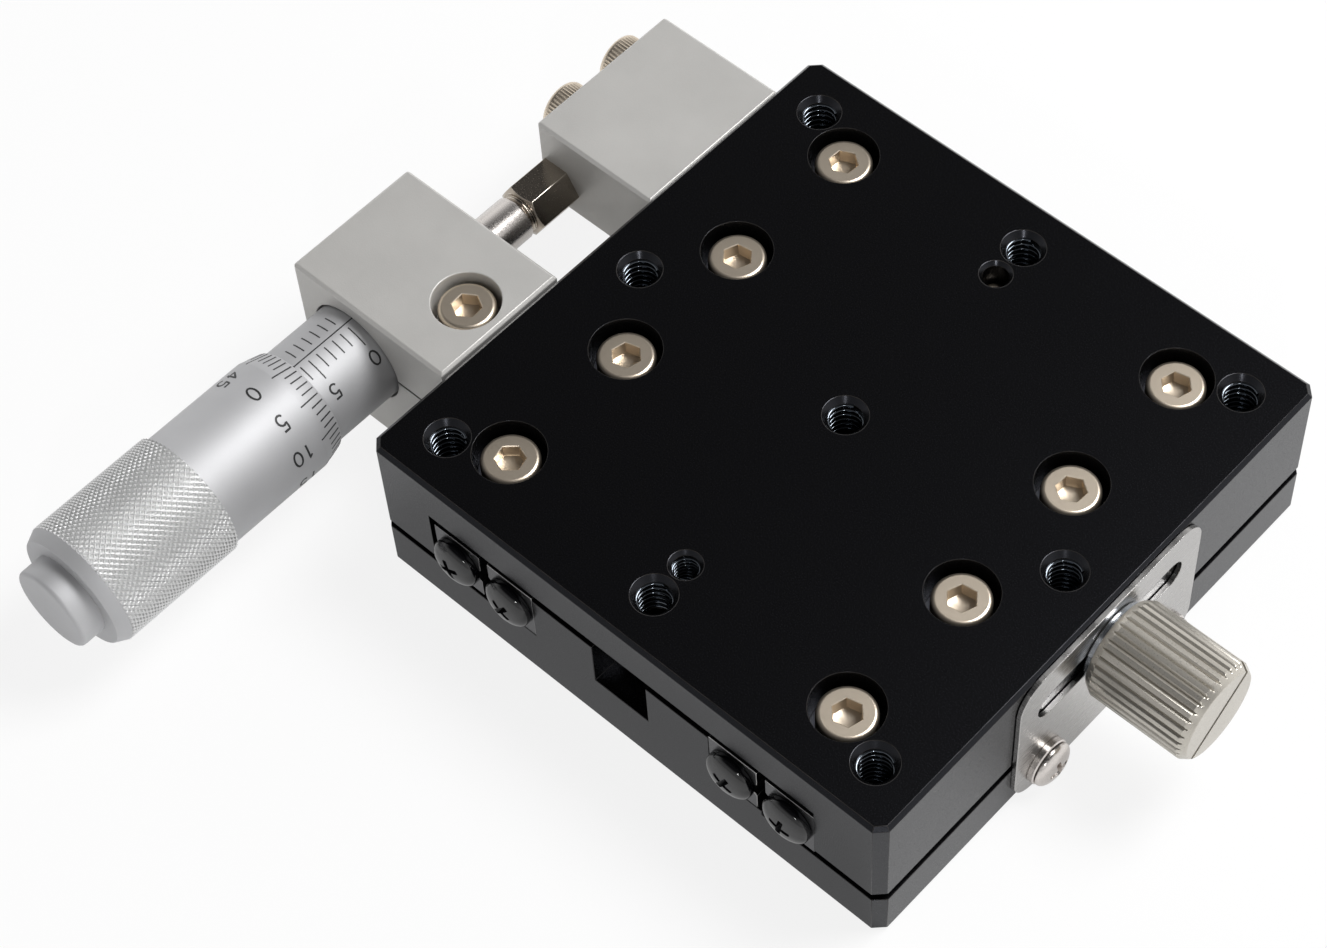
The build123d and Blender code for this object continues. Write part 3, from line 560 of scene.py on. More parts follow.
def grow(name, tree, slot, sizes, start=None, smooth_under=30):
    """A plain mesh piece that a tree makes from its sizes and from a start mesh."""
    piece = new_piece(name, start or bpy.data.meshes.new(name + "_start"), slot)
    rule = piece.modifiers.new("rule", "NODES")
    rule.node_group = tree
    given = {**sizes, "Material": finishes[slot]}
    for item in tree.interface.items_tree:
        if item.in_out == "INPUT" and item.name in given:
            rule[item.identifier] = given[item.name]
    settle(piece, smooth_under)
    print(name, len(piece.data.polygons), "faces")
    return piece


def on_points(tree, points, shape, **inputs):
    """One instance of a shape on every point."""
    inputs = {"Points": points, "Instance": shape, **inputs}
    return add_node(tree, "GeometryNodeInstanceOnPoints", inputs).outputs[0]


def sweep(tree, path, profile):
    """A closed solid that a profile curve sweeps out along a path curve."""
    inputs = {"Curve": path, "Profile Curve": profile, "Fill Caps": True}
    return add_node(tree, "GeometryNodeCurveToMesh", inputs).outputs[0]


def circle(tree, radius):
    """A small circle of eight points as a profile."""
    inputs = {"Resolution": 8, "Radius": radius}
    return add_node(tree, "GeometryNodeCurvePrimitiveCircle", inputs).outputs[0]


def positions(tree):
    """The X, Y and Z of every point, as sockets."""
    place = add_node(tree, "GeometryNodeInputPosition").outputs[0]
    return add_node(tree, "ShaderNodeSeparateXYZ", {"Vector": place}).outputs


def move_points(tree, geometry, x, y, z):
    """Every point put at its new place."""
    place = add_node(tree, "ShaderNodeCombineXYZ", {"X": x, "Y": y, "Z": z}).outputs[0]
    inputs = {"Geometry": geometry, "Position": place}
    return add_node(tree, "GeometryNodeSetPosition", inputs).outputs[0]


print("tree helpers ready")

# %% [markdown]
# ## Socket cap screws
# The eight bright screws are what the eye finds first. Their heads have a rounded outer edge, a
# flat ring, a broken edge round the hexagon socket and a shallow drill point at its bottom. One
# screw is a stack of rings with 96 points each, which puts a point on every corner of the
# hexagon. The rows are laid out by a tree, which also gives each screw a turn of its own, as a
# fitter would leave it.

# %% One cap screw
SCREW_STEPS = 96


def cap_screw(name, thread, length, head, height, key, key_depth):
    """A socket cap screw with its seat at height 0: sizes in mm, thread and head as radii."""

    def hexagon(angle):
        return key / 2 / math.cos((angle + math.pi / 6) % (math.pi / 3) - math.pi / 6)

    def knurled(angle):
        return head - 0.1 * (round(angle * SCREW_STEPS / (2 * math.pi)) % 2)

    return ring_solid(name, [
        (0, -length), (thread - 0.2, -length), (thread, -length + 0.2), (thread, 0),
        (head - 0.15, 0), (knurled, 0.15), (knurled, height - 0.6), (head - 0.01, height - 0.45),
        (head - 0.03, height - 0.3), (head - 0.12, height - 0.14), (head - 0.26, height - 0.04),
        (head - 0.4, height), (head - 0.44, height), (lambda angle: hexagon(angle) + 0.1, height),
        (lambda angle: hexagon(angle) + 0.07, height), (hexagon, height - 0.07),
        (hexagon, height - key_depth), (key * 0.44, height - key_depth - 0.03),
        (0, height - key_depth - 0.2),
    ], SCREW_STEPS)


M3_SCREW = dict(thread=1.48, head=2.75, height=3.0, key=2.5, key_depth=1.5)
M25_SCREW = dict(thread=1.23, head=2.25, height=2.5, key=2.0, key_depth=1.2)
print("one screw has", len(cap_screw("sample", length=6, **M3_SCREW).polygons), "faces")

# %% A tree that lays screws out in rows
screw_rows, rows_in = geometry_tree(
    "screw_rows", ("Count X", INT), ("Count Y", INT), ("Length X", FLOAT), ("Length Y", FLOAT),
    ("Most Turn", FLOAT), ("Seed", INT), ("Material", MATERIAL),
)
lattice = add_node(screw_rows, "GeometryNodeMeshGrid", {
    "Size X": rows_in["Length X"], "Size Y": rows_in["Length Y"],
    "Vertices X": rows_in["Count X"], "Vertices Y": rows_in["Count Y"],
})
largest_turn = add_node(screw_rows, "ShaderNodeCombineXYZ", {"Z": rows_in["Most Turn"]})
own_turn = add_node(screw_rows, "FunctionNodeRandomValue", {
    "Min": (0, 0, 0), "Max": largest_turn.outputs[0], "Seed": rows_in["Seed"],
}, data_type="FLOAT_VECTOR")
rows = on_points(
    screw_rows, lattice.outputs["Mesh"], rows_in["Geometry"], Rotation=own_turn.outputs[0]
)
end_tree(screw_rows, rows, rows_in)

# %% Rows of cap screws
RIGHT, LEFT, UP, DOWN = (1, 0, 0), (-1, 0, 0), (0, 0, 1), (0, 0, -1)
BACK, FRONT = (0, 1, 0), (0, -1, 0)
KEY_TURN, CROSS_TURN = math.pi / 3, math.pi / 2
OUTER_SPREAD, INNER_SPREAD, RAIL_PITCH = 39.5, 26.5, 15.0


def lay_rows(
    node_name, screw, counts, spacing_mm, place, seed, most_turn=KEY_TURN, look="bright_screws"
):
    """Replace a solid that holds several screws by rows of one detailed screw."""
    across, along = [(count - 1) * gap * MM for count, gap in zip(counts, spacing_mm)]
    piece = grow(node_name + "_worked", screw_rows, look, {
        "Count X": counts[0], "Count Y": counts[1], "Length X": across, "Length Y": along,
        "Most Turn": most_turn, "Seed": seed,
    }, screw)
    piece.data.transform(place)
    return place_on(piece, node_name)


# Each row: solid, sizes, length under the head, counts, spacing, seat of the middle, the way
# along the first count, the way the heads point, seed.
OUTER_ROWS, INNER_ROWS = (OUTER_SPREAD, RAIL_PITCH), (INNER_SPREAD, RAIL_PITCH)
for node_name, sizes, length, counts, spacing, seat, across, outward, seed in (
    ("table_rail_screws", M3_SCREW, 6, (2, 4), OUTER_ROWS, (0, 0, 14.1), RIGHT, UP, 3),
    ("base_rail_screws", M3_SCREW, 6, (2, 4), INNER_ROWS, (0, 0, 3.4), RIGHT, DOWN, 4),
    ("bracket_clamp_screw", M3_SCREW, 8, (1, 1), (1, 1), (-34.8, -12.8, 13.8), RIGHT, UP, 5),
    ("anvil_block_screws", M3_SCREW, 20, (2, 1), (8, 1), (-44.8, 16.75, 12.5), FRONT, LEFT, 6),
    ("bracket_mount_screws", M25_SCREW, 22, (2, 1), (9, 1), (-47, -12.8, 2.9), FRONT, LEFT, 7),
):
    one_screw = cap_screw(node_name + "_one", length=length, **sizes)
    lay_rows(node_name, one_screw, counts, spacing, standing(seat, across, outward), seed)

# %% [markdown]
# ## Cross-recess pan screws
# The rails end in low domed screws with a cross recess, and two more hold the clamp plate. The
# cross is a rule by angle too: near an arm the radius is long, and between the arms it is short.
# The dome is steepest at its rim, where the photograph shows the brightest spots. The clamp
# plate's screws stand on lock washers, so their profile has a groove between washer and dome.

# %% Pan screws
PAN_SIDE, PAN_TOP, CROSS_WIDTH, CROSS_LENGTH, CROSS_DEPTH = 0.5, 1.5, 0.55, 2.3, 1.1
PAN_THREAD, DOME_RINGS = 1.23, (0.99, 0.96, 0.91, 0.83, 0.73, 0.6)


def pan_screw(name, length, washer_radius, washer=0.0, overhang=0.0, top=PAN_TOP):
    """A cross-recess pan screw with its seat at height 0, on a lock washer so many mm thick."""
    head = washer_radius - overhang
    side = washer + 0.2 if washer else PAN_SIDE
    groove = [
        (washer_radius, washer - 0.12), (washer_radius - 0.12, washer), (head - 0.4, washer + 0.02),
        (head - 0.4, washer + 0.06), (head - 0.05, washer + 0.1), (head, washer + 0.15),
    ] if washer else []

    def dome(reach):
        return side + (top - side) * math.sqrt(1 - (reach / head) ** 2)

    def cross(angle):
        from_arm = abs((angle + math.pi / 4) % (math.pi / 2) - math.pi / 4)
        return min(CROSS_LENGTH / 2, CROSS_WIDTH / 2 / max(math.sin(from_arm), 0.001))

    return ring_solid(name, [
        (0, -length), (PAN_THREAD, -length), (PAN_THREAD, 0),
        (washer_radius - 0.06, 0), (washer_radius, 0.06), *groove, (head, side),
        *[(head * share, dome) for share in DOME_RINGS],
        (lambda angle: max(0.85, cross(angle) + 0.06), dome), (cross, dome),
        (lambda angle: cross(angle) * 0.45, top - CROSS_DEPTH), (0, top - CROSS_DEPTH - 0.1),
    ], SCREW_STEPS)


RAIL_END, ROLLER_Z, PLATE_FACE, PLATE_SCREW_Z, PLATE_SPREAD = 29.95, 9.2, 30.5, 3.1, 17.0
for node_name, spread, seed in (
    ("inner_rail_end_screws", INNER_SPREAD, 8), ("outer_rail_end_screws", OUTER_SPREAD, 9),
):
    for number, (across, outward) in enumerate(((RIGHT, FRONT), (LEFT, BACK))):
        pair = grow(f"{node_name}_{number}", screw_rows, "black_screws", {
            "Count X": 2, "Count Y": 1, "Length X": spread * MM, "Most Turn": CROSS_TURN,
            "Seed": seed + number,
        }, pan_screw("rail_end_screw", length=4.0, washer_radius=2.55))
        pair.data.transform(standing((0, outward[1] * RAIL_END, ROLLER_Z), across, outward))
        replaced = () if number else (node_name,)
        place_on(pair, *replaced, body=body_of_node[node_name], slot="black_screws")
plate_screw = pan_screw(
    "plate_screw", length=4.5, washer_radius=2.4, washer=0.7, overhang=0.12, top=1.85
)
lay_rows(
    "clamp_plate_screws", plate_screw, (2, 1), (PLATE_SPREAD, 1),
    standing((PLATE_FACE, 0, PLATE_SCREW_Z), BACK, RIGHT), 14, CROSS_TURN, "ground_steel",
)

# %% [markdown]
# ## Threads in the tapped holes
# The photograph shows a ladder of small glints down each tapped hole: the crests of its thread.
# A thread is a spiral with a rounded crest, so a tree draws a spiral, sweeps a small circle along
# it and puts one in each hole. The start mesh holds only a point at the foot of each thread.

# %% Threads
hole_threads, thread_in = geometry_tree(
    "hole_threads", ("Radius", FLOAT), ("Pitch", FLOAT), ("Turns", FLOAT), ("Crest", FLOAT),
    ("Material", MATERIAL),
)
thread_depth = calc(hole_threads, "MULTIPLY", thread_in["Pitch"], thread_in["Turns"])
thread_line = add_node(hole_threads, "GeometryNodeCurveSpiral", {
    "Resolution": 32, "Rotations": thread_in["Turns"], "Start Radius": thread_in["Radius"],
    "End Radius": thread_in["Radius"], "Height": thread_depth,
})
ridge = sweep(hole_threads, thread_line.outputs[0], circle(hole_threads, thread_in["Crest"]))
in_holes = on_points(hole_threads, thread_in["Geometry"], ridge)
end_tree(hole_threads, in_holes, thread_in)
M4_THREAD = {"Radius": 1.64 * MM, "Pitch": 0.7 * MM, "Crest": 0.21 * MM}
M3_THREAD = {"Radius": 1.24 * MM, "Pitch": 0.5 * MM, "Crest": 0.15 * MM}


def thread_holes(name, body, thread, bottom_mm, depth_mm, places):
    """Threads from a height upwards in holes at the given places, as one piece."""
    start = mesh_from(name + "_places", [(x, y, bottom_mm) for x, y in places])
    sizes = {**thread, "Turns": depth_mm * MM / thread["Pitch"]}
    ridges = grow(name, hole_threads, "tapped_metal", sizes, start, smooth_under=60)
    return place_on(ridges, body=body, slot="black_anodised")


GRID, SMALL_HOLE_Y = 25, -21
corners = [(x, y) for x in (-GRID, GRID) for y in (-GRID, GRID)]
sides, middles = [(-GRID, 0), (GRID, 0)], [(0, -GRID), (0, 0), (0, GRID)]
# Each row: piece, body, thread, height of its foot, its depth, places.
for row in (
    ("table_side_threads", "table", M4_THREAD, 11.8, 5.5, corners + sides),
    ("table_middle_threads", "table", M4_THREAD, 13.3, 4.0, middles),
    ("table_small_threads", "table", M3_THREAD, 13.3, 4.1, [(0, SMALL_HOLE_Y)]),
    ("base_corner_threads", "base", M4_THREAD, 0.7, 4.6, corners),
):
    thread_holes(*row)

# %% [markdown]
# ## The micrometer's smooth pieces
# Sleeve, spindle, cap and thimble are stacks of rings along the micrometer's axis. Heights are
# counted from the stage's middle towards the cap, so a height of 27.7 is at y -27.7. The
# thimble's grip is left a little lower here, because its knurl is a piece of its own.

# %% Sleeve, spindle, thimble and cap
MICROMETER_X, MICROMETER_Z = -42.6, 10.4
micrometer_axis = standing((MICROMETER_X, 0, MICROMETER_Z), RIGHT, FRONT)
SLEEVE_RADIUS = 5.2
THIMBLE_EDGE, BEVEL_END, KNURL_START, KNURL_END, THIMBLE_END = 27.7, 30.0, 41.4, 54.3, 55.5
LIP_RADIUS, BARREL_RADIUS, KNURL_RADIUS, KNURL_ROOT = 5.5, 6.1, 6.5, 6.24
TURNED = {
    "graduated_sleeve": [
        (4.78, 19.35), (SLEEVE_RADIUS - 0.08, 19.35), (SLEEVE_RADIUS, 19.43),
        (SLEEVE_RADIUS, 36.42), (SLEEVE_RADIUS - 0.08, 36.5), (4.78, 36.5),
    ],
    "spindle": [
        (0, -1.1), (1.95, -1.1), (2.1, -1.08), (2.29, -0.9), (2.35, -0.75), (2.35, 24.0), (0, 24.0),
    ],
    "thimble": [
        (5.26, THIMBLE_EDGE), (LIP_RADIUS - 0.05, THIMBLE_EDGE), (LIP_RADIUS, THIMBLE_EDGE + 0.06),
        (BARREL_RADIUS - 0.02, BEVEL_END - 0.08), (BARREL_RADIUS, BEVEL_END + 0.08),
        (BARREL_RADIUS, KNURL_START), (BARREL_RADIUS + 0.05, KNURL_START + 0.1),
        (BARREL_RADIUS + 0.05, KNURL_END - 0.1), (5.0, KNURL_END), (1.52, KNURL_END), (1.52, 53.05),
        (2.22, 53.05), (2.22, 50.0), (5.26, 50.0),
    ],
    "thimble_cap": [
        (0, 53.5), (1.5, 53.5), (1.5, THIMBLE_END), (4.25, THIMBLE_END), (4.25, 57.6),
        (4.21, 57.78), (4.1, 57.91), (3.92, 57.98), (3.7, 58.0), (0, 58.0),
    ],
}


def turn_piece(name, rings, look, *replaced, **ride):
    """A turned piece on the micrometer's axis."""
    piece = new_piece(name, ring_solid(name + "_rings", rings), look)
    piece.data.transform(micrometer_axis)
    print(name, len(piece.data.polygons), "faces")
    return place_on(piece, *replaced, **ride)


for node_name, rings in TURNED.items():
    look = "ground_steel" if node_name == "spindle" else "satin_chrome"
    turn_piece(node_name + "_worked", rings, look, node_name)

# %% [markdown]
# ## The diamond knurl
# A diamond knurl is two sets of spiral grooves that cross and leave rows of small pyramids. The
# height at a place is the smaller of its distances to the nearest groove of either set, and each
# tip is cut flat. The grid has four columns and four rows to a pyramid, so every groove runs
# along the cells' diagonals and stays crisp. The grid is rolled into a ring, its first and last
# rows are tucked inside, and the seam is merged.

# %% The knurl's tree
CELLS, TIP_CUT, TUCKED_ROWS, LAST_ROW = 4.0, 0.38, 2.0, 0.9999
knurl_ring, knurl_in = geometry_tree(
    "knurl_ring", ("Around", INT), ("Along", INT), ("Pitch", FLOAT), ("Start", FLOAT),
    ("Crest", FLOAT), ("Root", FLOAT), ("Inside", FLOAT), ("Material", MATERIAL),
)
work = partial(calc, knurl_ring)
columns = work("MULTIPLY", knurl_in["Around"], CELLS)
knurl_rows = work("MULTIPLY", knurl_in["Along"], CELLS)
all_rows = work("ADD", knurl_rows, 2 * TUCKED_ROWS)
flat_grid = add_node(knurl_ring, "GeometryNodeMeshGrid", {
    "Size X": 1.0, "Size Y": 1.0,
    "Vertices X": work("ADD", columns, 1.0), "Vertices Y": work("ADD", all_rows, 1.0),
})
flat_x, flat_y, _ = positions(knurl_ring)
turn = work("ADD", flat_x, 0.5)
row = work("MULTIPLY_ADD", work("ADD", flat_y, 0.5), all_rows, -TUCKED_ROWS)
row_held = work("MINIMUM", work("MAXIMUM", row, 0.0), knurl_rows)
over_grooves = work("MULTIPLY", turn, knurl_in["Around"])
along_grooves = work("DIVIDE", row_held, CELLS)
heights = [
    work("PINGPONG", work(way, over_grooves, along_grooves), 0.5) for way in ("ADD", "SUBTRACT")
]
pyramid = work("MINIMUM", work("MINIMUM", *heights), TIP_CUT)
height_span = work("DIVIDE", work("SUBTRACT", knurl_in["Crest"], knurl_in["Root"]), TIP_CUT)
outer = work("MULTIPLY_ADD", pyramid, height_span, knurl_in["Root"])
below = work("LESS_THAN", row, -0.5)
above = work("GREATER_THAN", row, work("ADD", knurl_rows, 0.5))
reach = add_node(knurl_ring, "ShaderNodeMix", {
    "Factor": work("ADD", below, above), "A": outer, "B": knurl_in["Inside"],
}).outputs[0]
at_end = work("GREATER_THAN", work("ABSOLUTE", work("MULTIPLY", flat_y, 2.0)), LAST_ROW)
row_place = add_node(knurl_ring, "ShaderNodeMix", {
    "Factor": at_end, "A": row_held, "B": work("DIVIDE", knurl_rows, 2.0),
}).outputs[0]
turn_angle = work("MULTIPLY", turn, 2 * math.pi)
ring = move_points(
    knurl_ring, flat_grid.outputs["Mesh"],
    x=work("MULTIPLY", reach, work("COSINE", turn_angle)),
    y=work("MULTIPLY", reach, work("SINE", turn_angle)),
    z=work("MULTIPLY_ADD", row_place, work("DIVIDE", knurl_in["Pitch"], CELLS), knurl_in["Start"]),
)
welded = add_node(knurl_ring, "GeometryNodeMergeByDistance", {
    "Geometry": ring, "Distance": 1 * MICROMETRE,
})
split_cells = add_node(knurl_ring, "GeometryNodeTriangulate", {
    "Mesh": welded.outputs[0],
}, quad_method="SHORTEST_DIAGONAL")
end_tree(knurl_ring, split_cells.outputs[0], knurl_in)

# %% The thimble's grip and its smooth end
KNURLS_AROUND, KNURLS_ALONG = 64, 19
GRIP_START, GRIP_END, GRIP_INSIDE = KNURL_START + 0.2, KNURL_END - 0.05, BARREL_RADIUS - 0.05
grip = grow("thimble_grip", knurl_ring, "knurled_chrome", {
    "Around": KNURLS_AROUND, "Along": KNURLS_ALONG,
    "Pitch": (GRIP_END - GRIP_START) / KNURLS_ALONG * MM, "Start": GRIP_START * MM,
    "Crest": KNURL_RADIUS * MM, "Root": KNURL_ROOT * MM, "Inside": GRIP_INSIDE * MM,
}, smooth_under=5)
grip.data.transform(micrometer_axis)
place_on(grip, body="thimble", slot="satin_chrome")
turn_piece("thimble_end", [
    (1.52, KNURL_END - 0.2), (6.3, KNURL_END - 0.2), (6.42, KNURL_END), (5.86, THIMBLE_END - 0.06),
    (5.78, THIMBLE_END), (1.52, THIMBLE_END),
], "satin_chrome", body="thimble", slot="satin_chrome")

# %% [markdown]
# ## Scale lines and digits
# The scales are drawn flat first, with X running round the axis, Y along the stage and Z out of
# the surface, and a small tree then wraps them round the micrometer. The thimble is a cone for
# its first 2.3 mm, so that tree also knows how much the radius gains towards the cap. Lines and
# digits are closed strips that stand 0.012 mm proud, like the ink in an engraved line.

# %% Wrapping a flat drawing round the micrometer
ROUND = (("Radius", FLOAT), ("Gain", FLOAT), ("Gain Start", FLOAT), ("Gain End", FLOAT))
SURFACE = (*ROUND, ("Material", MATERIAL))
wrap_round, wrap_in = geometry_tree("wrap_round", *ROUND)
work = partial(calc, wrap_round)
flat_x, flat_y, flat_z = positions(wrap_round)
past_start = work("MAXIMUM", work("SUBTRACT", wrap_in["Gain Start"], flat_y), 0.0)
cone_length = work("SUBTRACT", wrap_in["Gain Start"], wrap_in["Gain End"])
cone_part = work("MINIMUM", past_start, cone_length)
surface = work("MULTIPLY_ADD", cone_part, wrap_in["Gain"], wrap_in["Radius"])
reach = work("ADD", surface, flat_z)
angle = work("DIVIDE", flat_x, wrap_in["Radius"])
wrapped = move_points(
    wrap_round, wrap_in["Geometry"],
    x=work("MULTIPLY_ADD", work("SINE", angle), reach, MICROMETER_X * MM), y=flat_y,
    z=work("MULTIPLY_ADD", work("COSINE", angle), reach, MICROMETER_Z * MM),
)
add_node(wrap_round, "NodeGroupOutput", {"Geometry": wrapped})


def wrap_and_end(tree, geometry, given):
    """Wrap a flat drawing with the tree's own sizes, and close the tree."""
    whole = add_node(tree, "GeometryNodeRealizeInstances", {"Geometry": geometry}).outputs[0]
    sizes = {name: given[name] for name, _ in ROUND}
    bent = add_node(tree, "GeometryNodeGroup", {"Geometry": whole, **sizes}, node_tree=wrap_round)
    end_tree(tree, bent.outputs[0], given)


SLEEVE = {"Radius": SLEEVE_RADIUS * MM, "Gain": 0.0, "Gain Start": 0.0, "Gain End": 0.0}
THIMBLE = {
    "Radius": LIP_RADIUS * MM, "Gain": (BARREL_RADIUS - LIP_RADIUS) / (BEVEL_END - THIMBLE_EDGE),
    "Gain Start": -THIMBLE_EDGE * MM, "Gain End": -BEVEL_END * MM,
}
print("wrap_round has", len(wrap_round.nodes), "nodes")

# %% A tree for rows of scale lines
LINE_POINTS = 9
line_row, row_in = geometry_tree(
    "line_row", ("Count", INT), ("First", VECTOR), ("Step", VECTOR), ("Line Size", VECTOR),
    *SURFACE,
)
marks = add_node(line_row, "GeometryNodeMeshLine", {
    "Count": row_in["Count"], "Start Location": row_in["First"], "Offset": row_in["Step"],
})
one_line = add_node(line_row, "GeometryNodeMeshCube", {
    "Size": row_in["Line Size"],
    "Vertices X": LINE_POINTS, "Vertices Y": LINE_POINTS, "Vertices Z": 2,
})
laid = on_points(line_row, marks.outputs[0], one_line.outputs["Mesh"])
wrap_and_end(line_row, laid, row_in)

# %% The lines themselves
INK_DEPTH, INK_PROUD, LINE_WIDTH = 0.05, 0.012, 0.13
ZERO_MARK, INDEX_ANGLE, MARK_STEP = -21.2, 1.5, 7.2
INK_MIDDLE = INK_PROUD - INK_DEPTH / 2
DEGREE = math.pi / 180


def draw_lines(name, body, surface, count, first, step, length=0.0, span=0.0):
    """A row of lines: first and step as (degrees, y), and a length in mm or a span in degrees."""
    radius = surface["Radius"]
    lines = grow(name, line_row, "scale_ink", {
        **surface, "Count": count,
        "First": (first[0] * DEGREE * radius, first[1] * MM, INK_MIDDLE * MM),
        "Step": (step[0] * DEGREE * radius, step[1] * MM, 0.0),
        "Line Size": (
            span * DEGREE * radius or LINE_WIDTH * MM, (length or LINE_WIDTH) * MM, INK_DEPTH * MM,
        ),
    })
    return place_on(lines, body=body, slot="satin_chrome")


# Each row: name, how many, from and to which angle past the index line, first y, step.
for name, count, start, end, first_y, step_y in (
    ("millimetre_lines", 14, 5.3, 23.5, ZERO_MARK, -1),
    ("five_millimetre_lines", 3, 23.5, 31.0, ZERO_MARK, -5),
    ("half_millimetre_lines", 13, -23.5, -6.7, ZERO_MARK - 0.5, -1),
):
    middle = (start + end) / 2 + INDEX_ANGLE
    draw_lines(name, "base", SLEEVE, count, (middle, first_y), (0, step_y), span=end - start)
draw_lines("index_line", "base", SLEEVE, 1, (INDEX_ANGLE, -27.9), (0, 0), length=16.2)
draw_lines("thimble_lines", "thimble", THIMBLE, 50, (INDEX_ANGLE, -28.57), (MARK_STEP, 0), 1.45)
draw_lines(
    "thimble_long_lines", "thimble", THIMBLE, 10, (INDEX_ANGLE, -29.72), (5 * MARK_STEP, 0), 0.85
)

# %% [markdown]
# A digit is one stroke of an engraving tool. Its path is written in a box one unit high, with
# straight runs and arcs, and a tree sweeps a small square along it before wrapping. The digits
# are turned a quarter: their right is towards the cap, and their top is clockwise round it.

# %% Digits as strokes


def arc(middle_x, middle_y, radius_x, radius_y, start, end, steps=14):
    """Points on part of an ellipse, with angles in degrees."""
    angles = [(start + (end - start) * number / steps) * DEGREE for number in range(steps + 1)]
    return [(middle_x + radius_x * math.cos(a), middle_y + radius_y * math.sin(a)) for a in angles]


STROKES = {
    "0": arc(0, 0, 0.3, 0.5, 90, 450, 28),
    "1": [(-0.16, 0.3), (0.04, 0.5), (0.04, -0.5)],
    "2": arc(0, 0.22, 0.27, 0.28, 165, -35) + [(-0.28, -0.5), (0.3, -0.5)],
    "3": arc(-0.02, 0.25, 0.25, 0.25, 150, -80) + arc(-0.02, -0.22, 0.29, 0.28, 80, -150),
    "4": [(0.14, -0.5), (0.14, 0.5), (-0.3, -0.22), (0.3, -0.22)],
    "5": [(0.25, 0.5), (-0.2, 0.5), (-0.24, 0.05)] + arc(0, -0.17, 0.29, 0.33, 135, -145),
}
digit_strokes, stroke_in = geometry_tree("digit_strokes", ("Stroke", FLOAT), *SURFACE)
path = add_node(digit_strokes, "GeometryNodeMeshToCurve", {"Mesh": stroke_in["Geometry"]})
nib = add_node(digit_strokes, "GeometryNodeCurvePrimitiveQuadrilateral", {
    "Width": stroke_in["Stroke"], "Height": stroke_in["Stroke"],
})
short_steps = add_node(digit_strokes, "GeometryNodeResampleCurve", {
    "Curve": path.outputs[0], "Length": stroke_in["Stroke"],
}, mode="LENGTH")
inked = sweep(digit_strokes, short_steps.outputs[0], nib.outputs[0])
wrap_and_end(digit_strokes, inked, stroke_in)
print("strokes for", " ".join(STROKES))

# %% Numbers on the sleeve and the thimble
DIGIT_HEIGHT, DIGIT_STEP, DIGIT_STROKE = 1.42, 1.25, 0.2
SLEEVE_DIGIT_ANGLE, THIMBLE_DIGIT_PLACE = 47.0, 4.7


def write_numbers(name, body, surface, numbers):
    """Numbers as one piece: each is (text, angle in degrees, y) of its middle."""
    radius = surface["Radius"] / MM
    points, edges = [], []
    for text, degrees, along in numbers:
        for place, digit in enumerate(text):
            shift = (place - (len(text) - 1) / 2) * DIGIT_STEP
            first = len(points)
            for right, up in STROKES[digit]:
                points.append((
                    degrees * DEGREE * radius + up * DIGIT_HEIGHT,
                    along - shift - right * DIGIT_HEIGHT,
                    INK_PROUD - DIGIT_STROKE / 2,
                ))
            edges += [(number, number + 1) for number in range(first, len(points) - 1)]
    sizes = {**surface, "Stroke": DIGIT_STROKE * MM}
    paths = mesh_from(name + "_paths", points, edges)
    written = grow(name, digit_strokes, "scale_ink", sizes, paths)
    return place_on(written, body=body, slot="satin_chrome")


write_numbers("sleeve_numbers", "base", SLEEVE, [
    (str(number), SLEEVE_DIGIT_ANGLE + INDEX_ANGLE, ZERO_MARK - number) for number in (0, 5, 10)
])
write_numbers("thimble_numbers", "thimble", THIMBLE, [
    (str(number), MARK_STEP * number + INDEX_ANGLE, -THIMBLE_EDGE - THIMBLE_DIGIT_PLACE)
    for number in range(0, 50, 5)
])

# %% [markdown]
# ## The clamp knob
# The knob has 36 flat ridges with narrow grooves between them and a smooth bevel at both ends.
# It is a stack of rings whose radius dips at each groove. Near the ends the bevel is smaller
# than the ridges, so the grooves run out in it. The slot across its face is cut with a Boolean
# modifier.

# %% Knob
KNOB_START, KNOB_END, KNOB_RADIUS, KNOB_FACE, KNOB_BEVEL = 31.2, 42.2, 5.0, 4.5, 0.8
RIDGES, RIDGE_DEPTH, GROOVE_SHARE, RIDGE_STEPS, BEVEL_STEPS = 36, 0.27, 0.42, 8, 8
STUD_RADIUS, STUD_END, CLAMP_Z = 1.5, 36.2, 12.7
SLOT_SIZE, SLOT_TURN, KNOB_SMOOTH = (2.0, 12.0, 0.55), 40.0, 25


def ridged(limit):
    """The knob's radius by angle, never above the given limit."""

    def radius(angle):
        from_groove = abs((angle * RIDGES / (2 * math.pi) + 0.5) % 1 - 0.5) * 2
        return min(KNOB_RADIUS - RIDGE_DEPTH * max(0, 1 - from_groove / GROOVE_SHARE), limit)

    return radius


bevel_rings = [
    (ridged(KNOB_FACE + (KNOB_RADIUS - KNOB_FACE) * step / BEVEL_STEPS),
     KNOB_BEVEL * step / BEVEL_STEPS)
    for step in range(1, BEVEL_STEPS + 1)
]
knob_rings = [
    (0, STUD_END), (STUD_RADIUS, STUD_END), (STUD_RADIUS, KNOB_START),
    (KNOB_FACE - 0.06, KNOB_START), (KNOB_FACE + 0.02, KNOB_START + 0.04),
    *[(radius, KNOB_START + rise) for radius, rise in bevel_rings],
    *[(radius, KNOB_END - rise) for radius, rise in reversed(bevel_rings)],
    (KNOB_FACE + 0.02, KNOB_END - 0.04), (KNOB_FACE - 0.06, KNOB_END), (0.5, KNOB_END),
    (0, KNOB_END),
]
knob_mesh = ring_solid("knob_rings", knob_rings, RIDGES * RIDGE_STEPS, KNOB_SMOOTH)
knob_mesh.transform(standing((0, 0, CLAMP_Z), BACK, RIGHT))
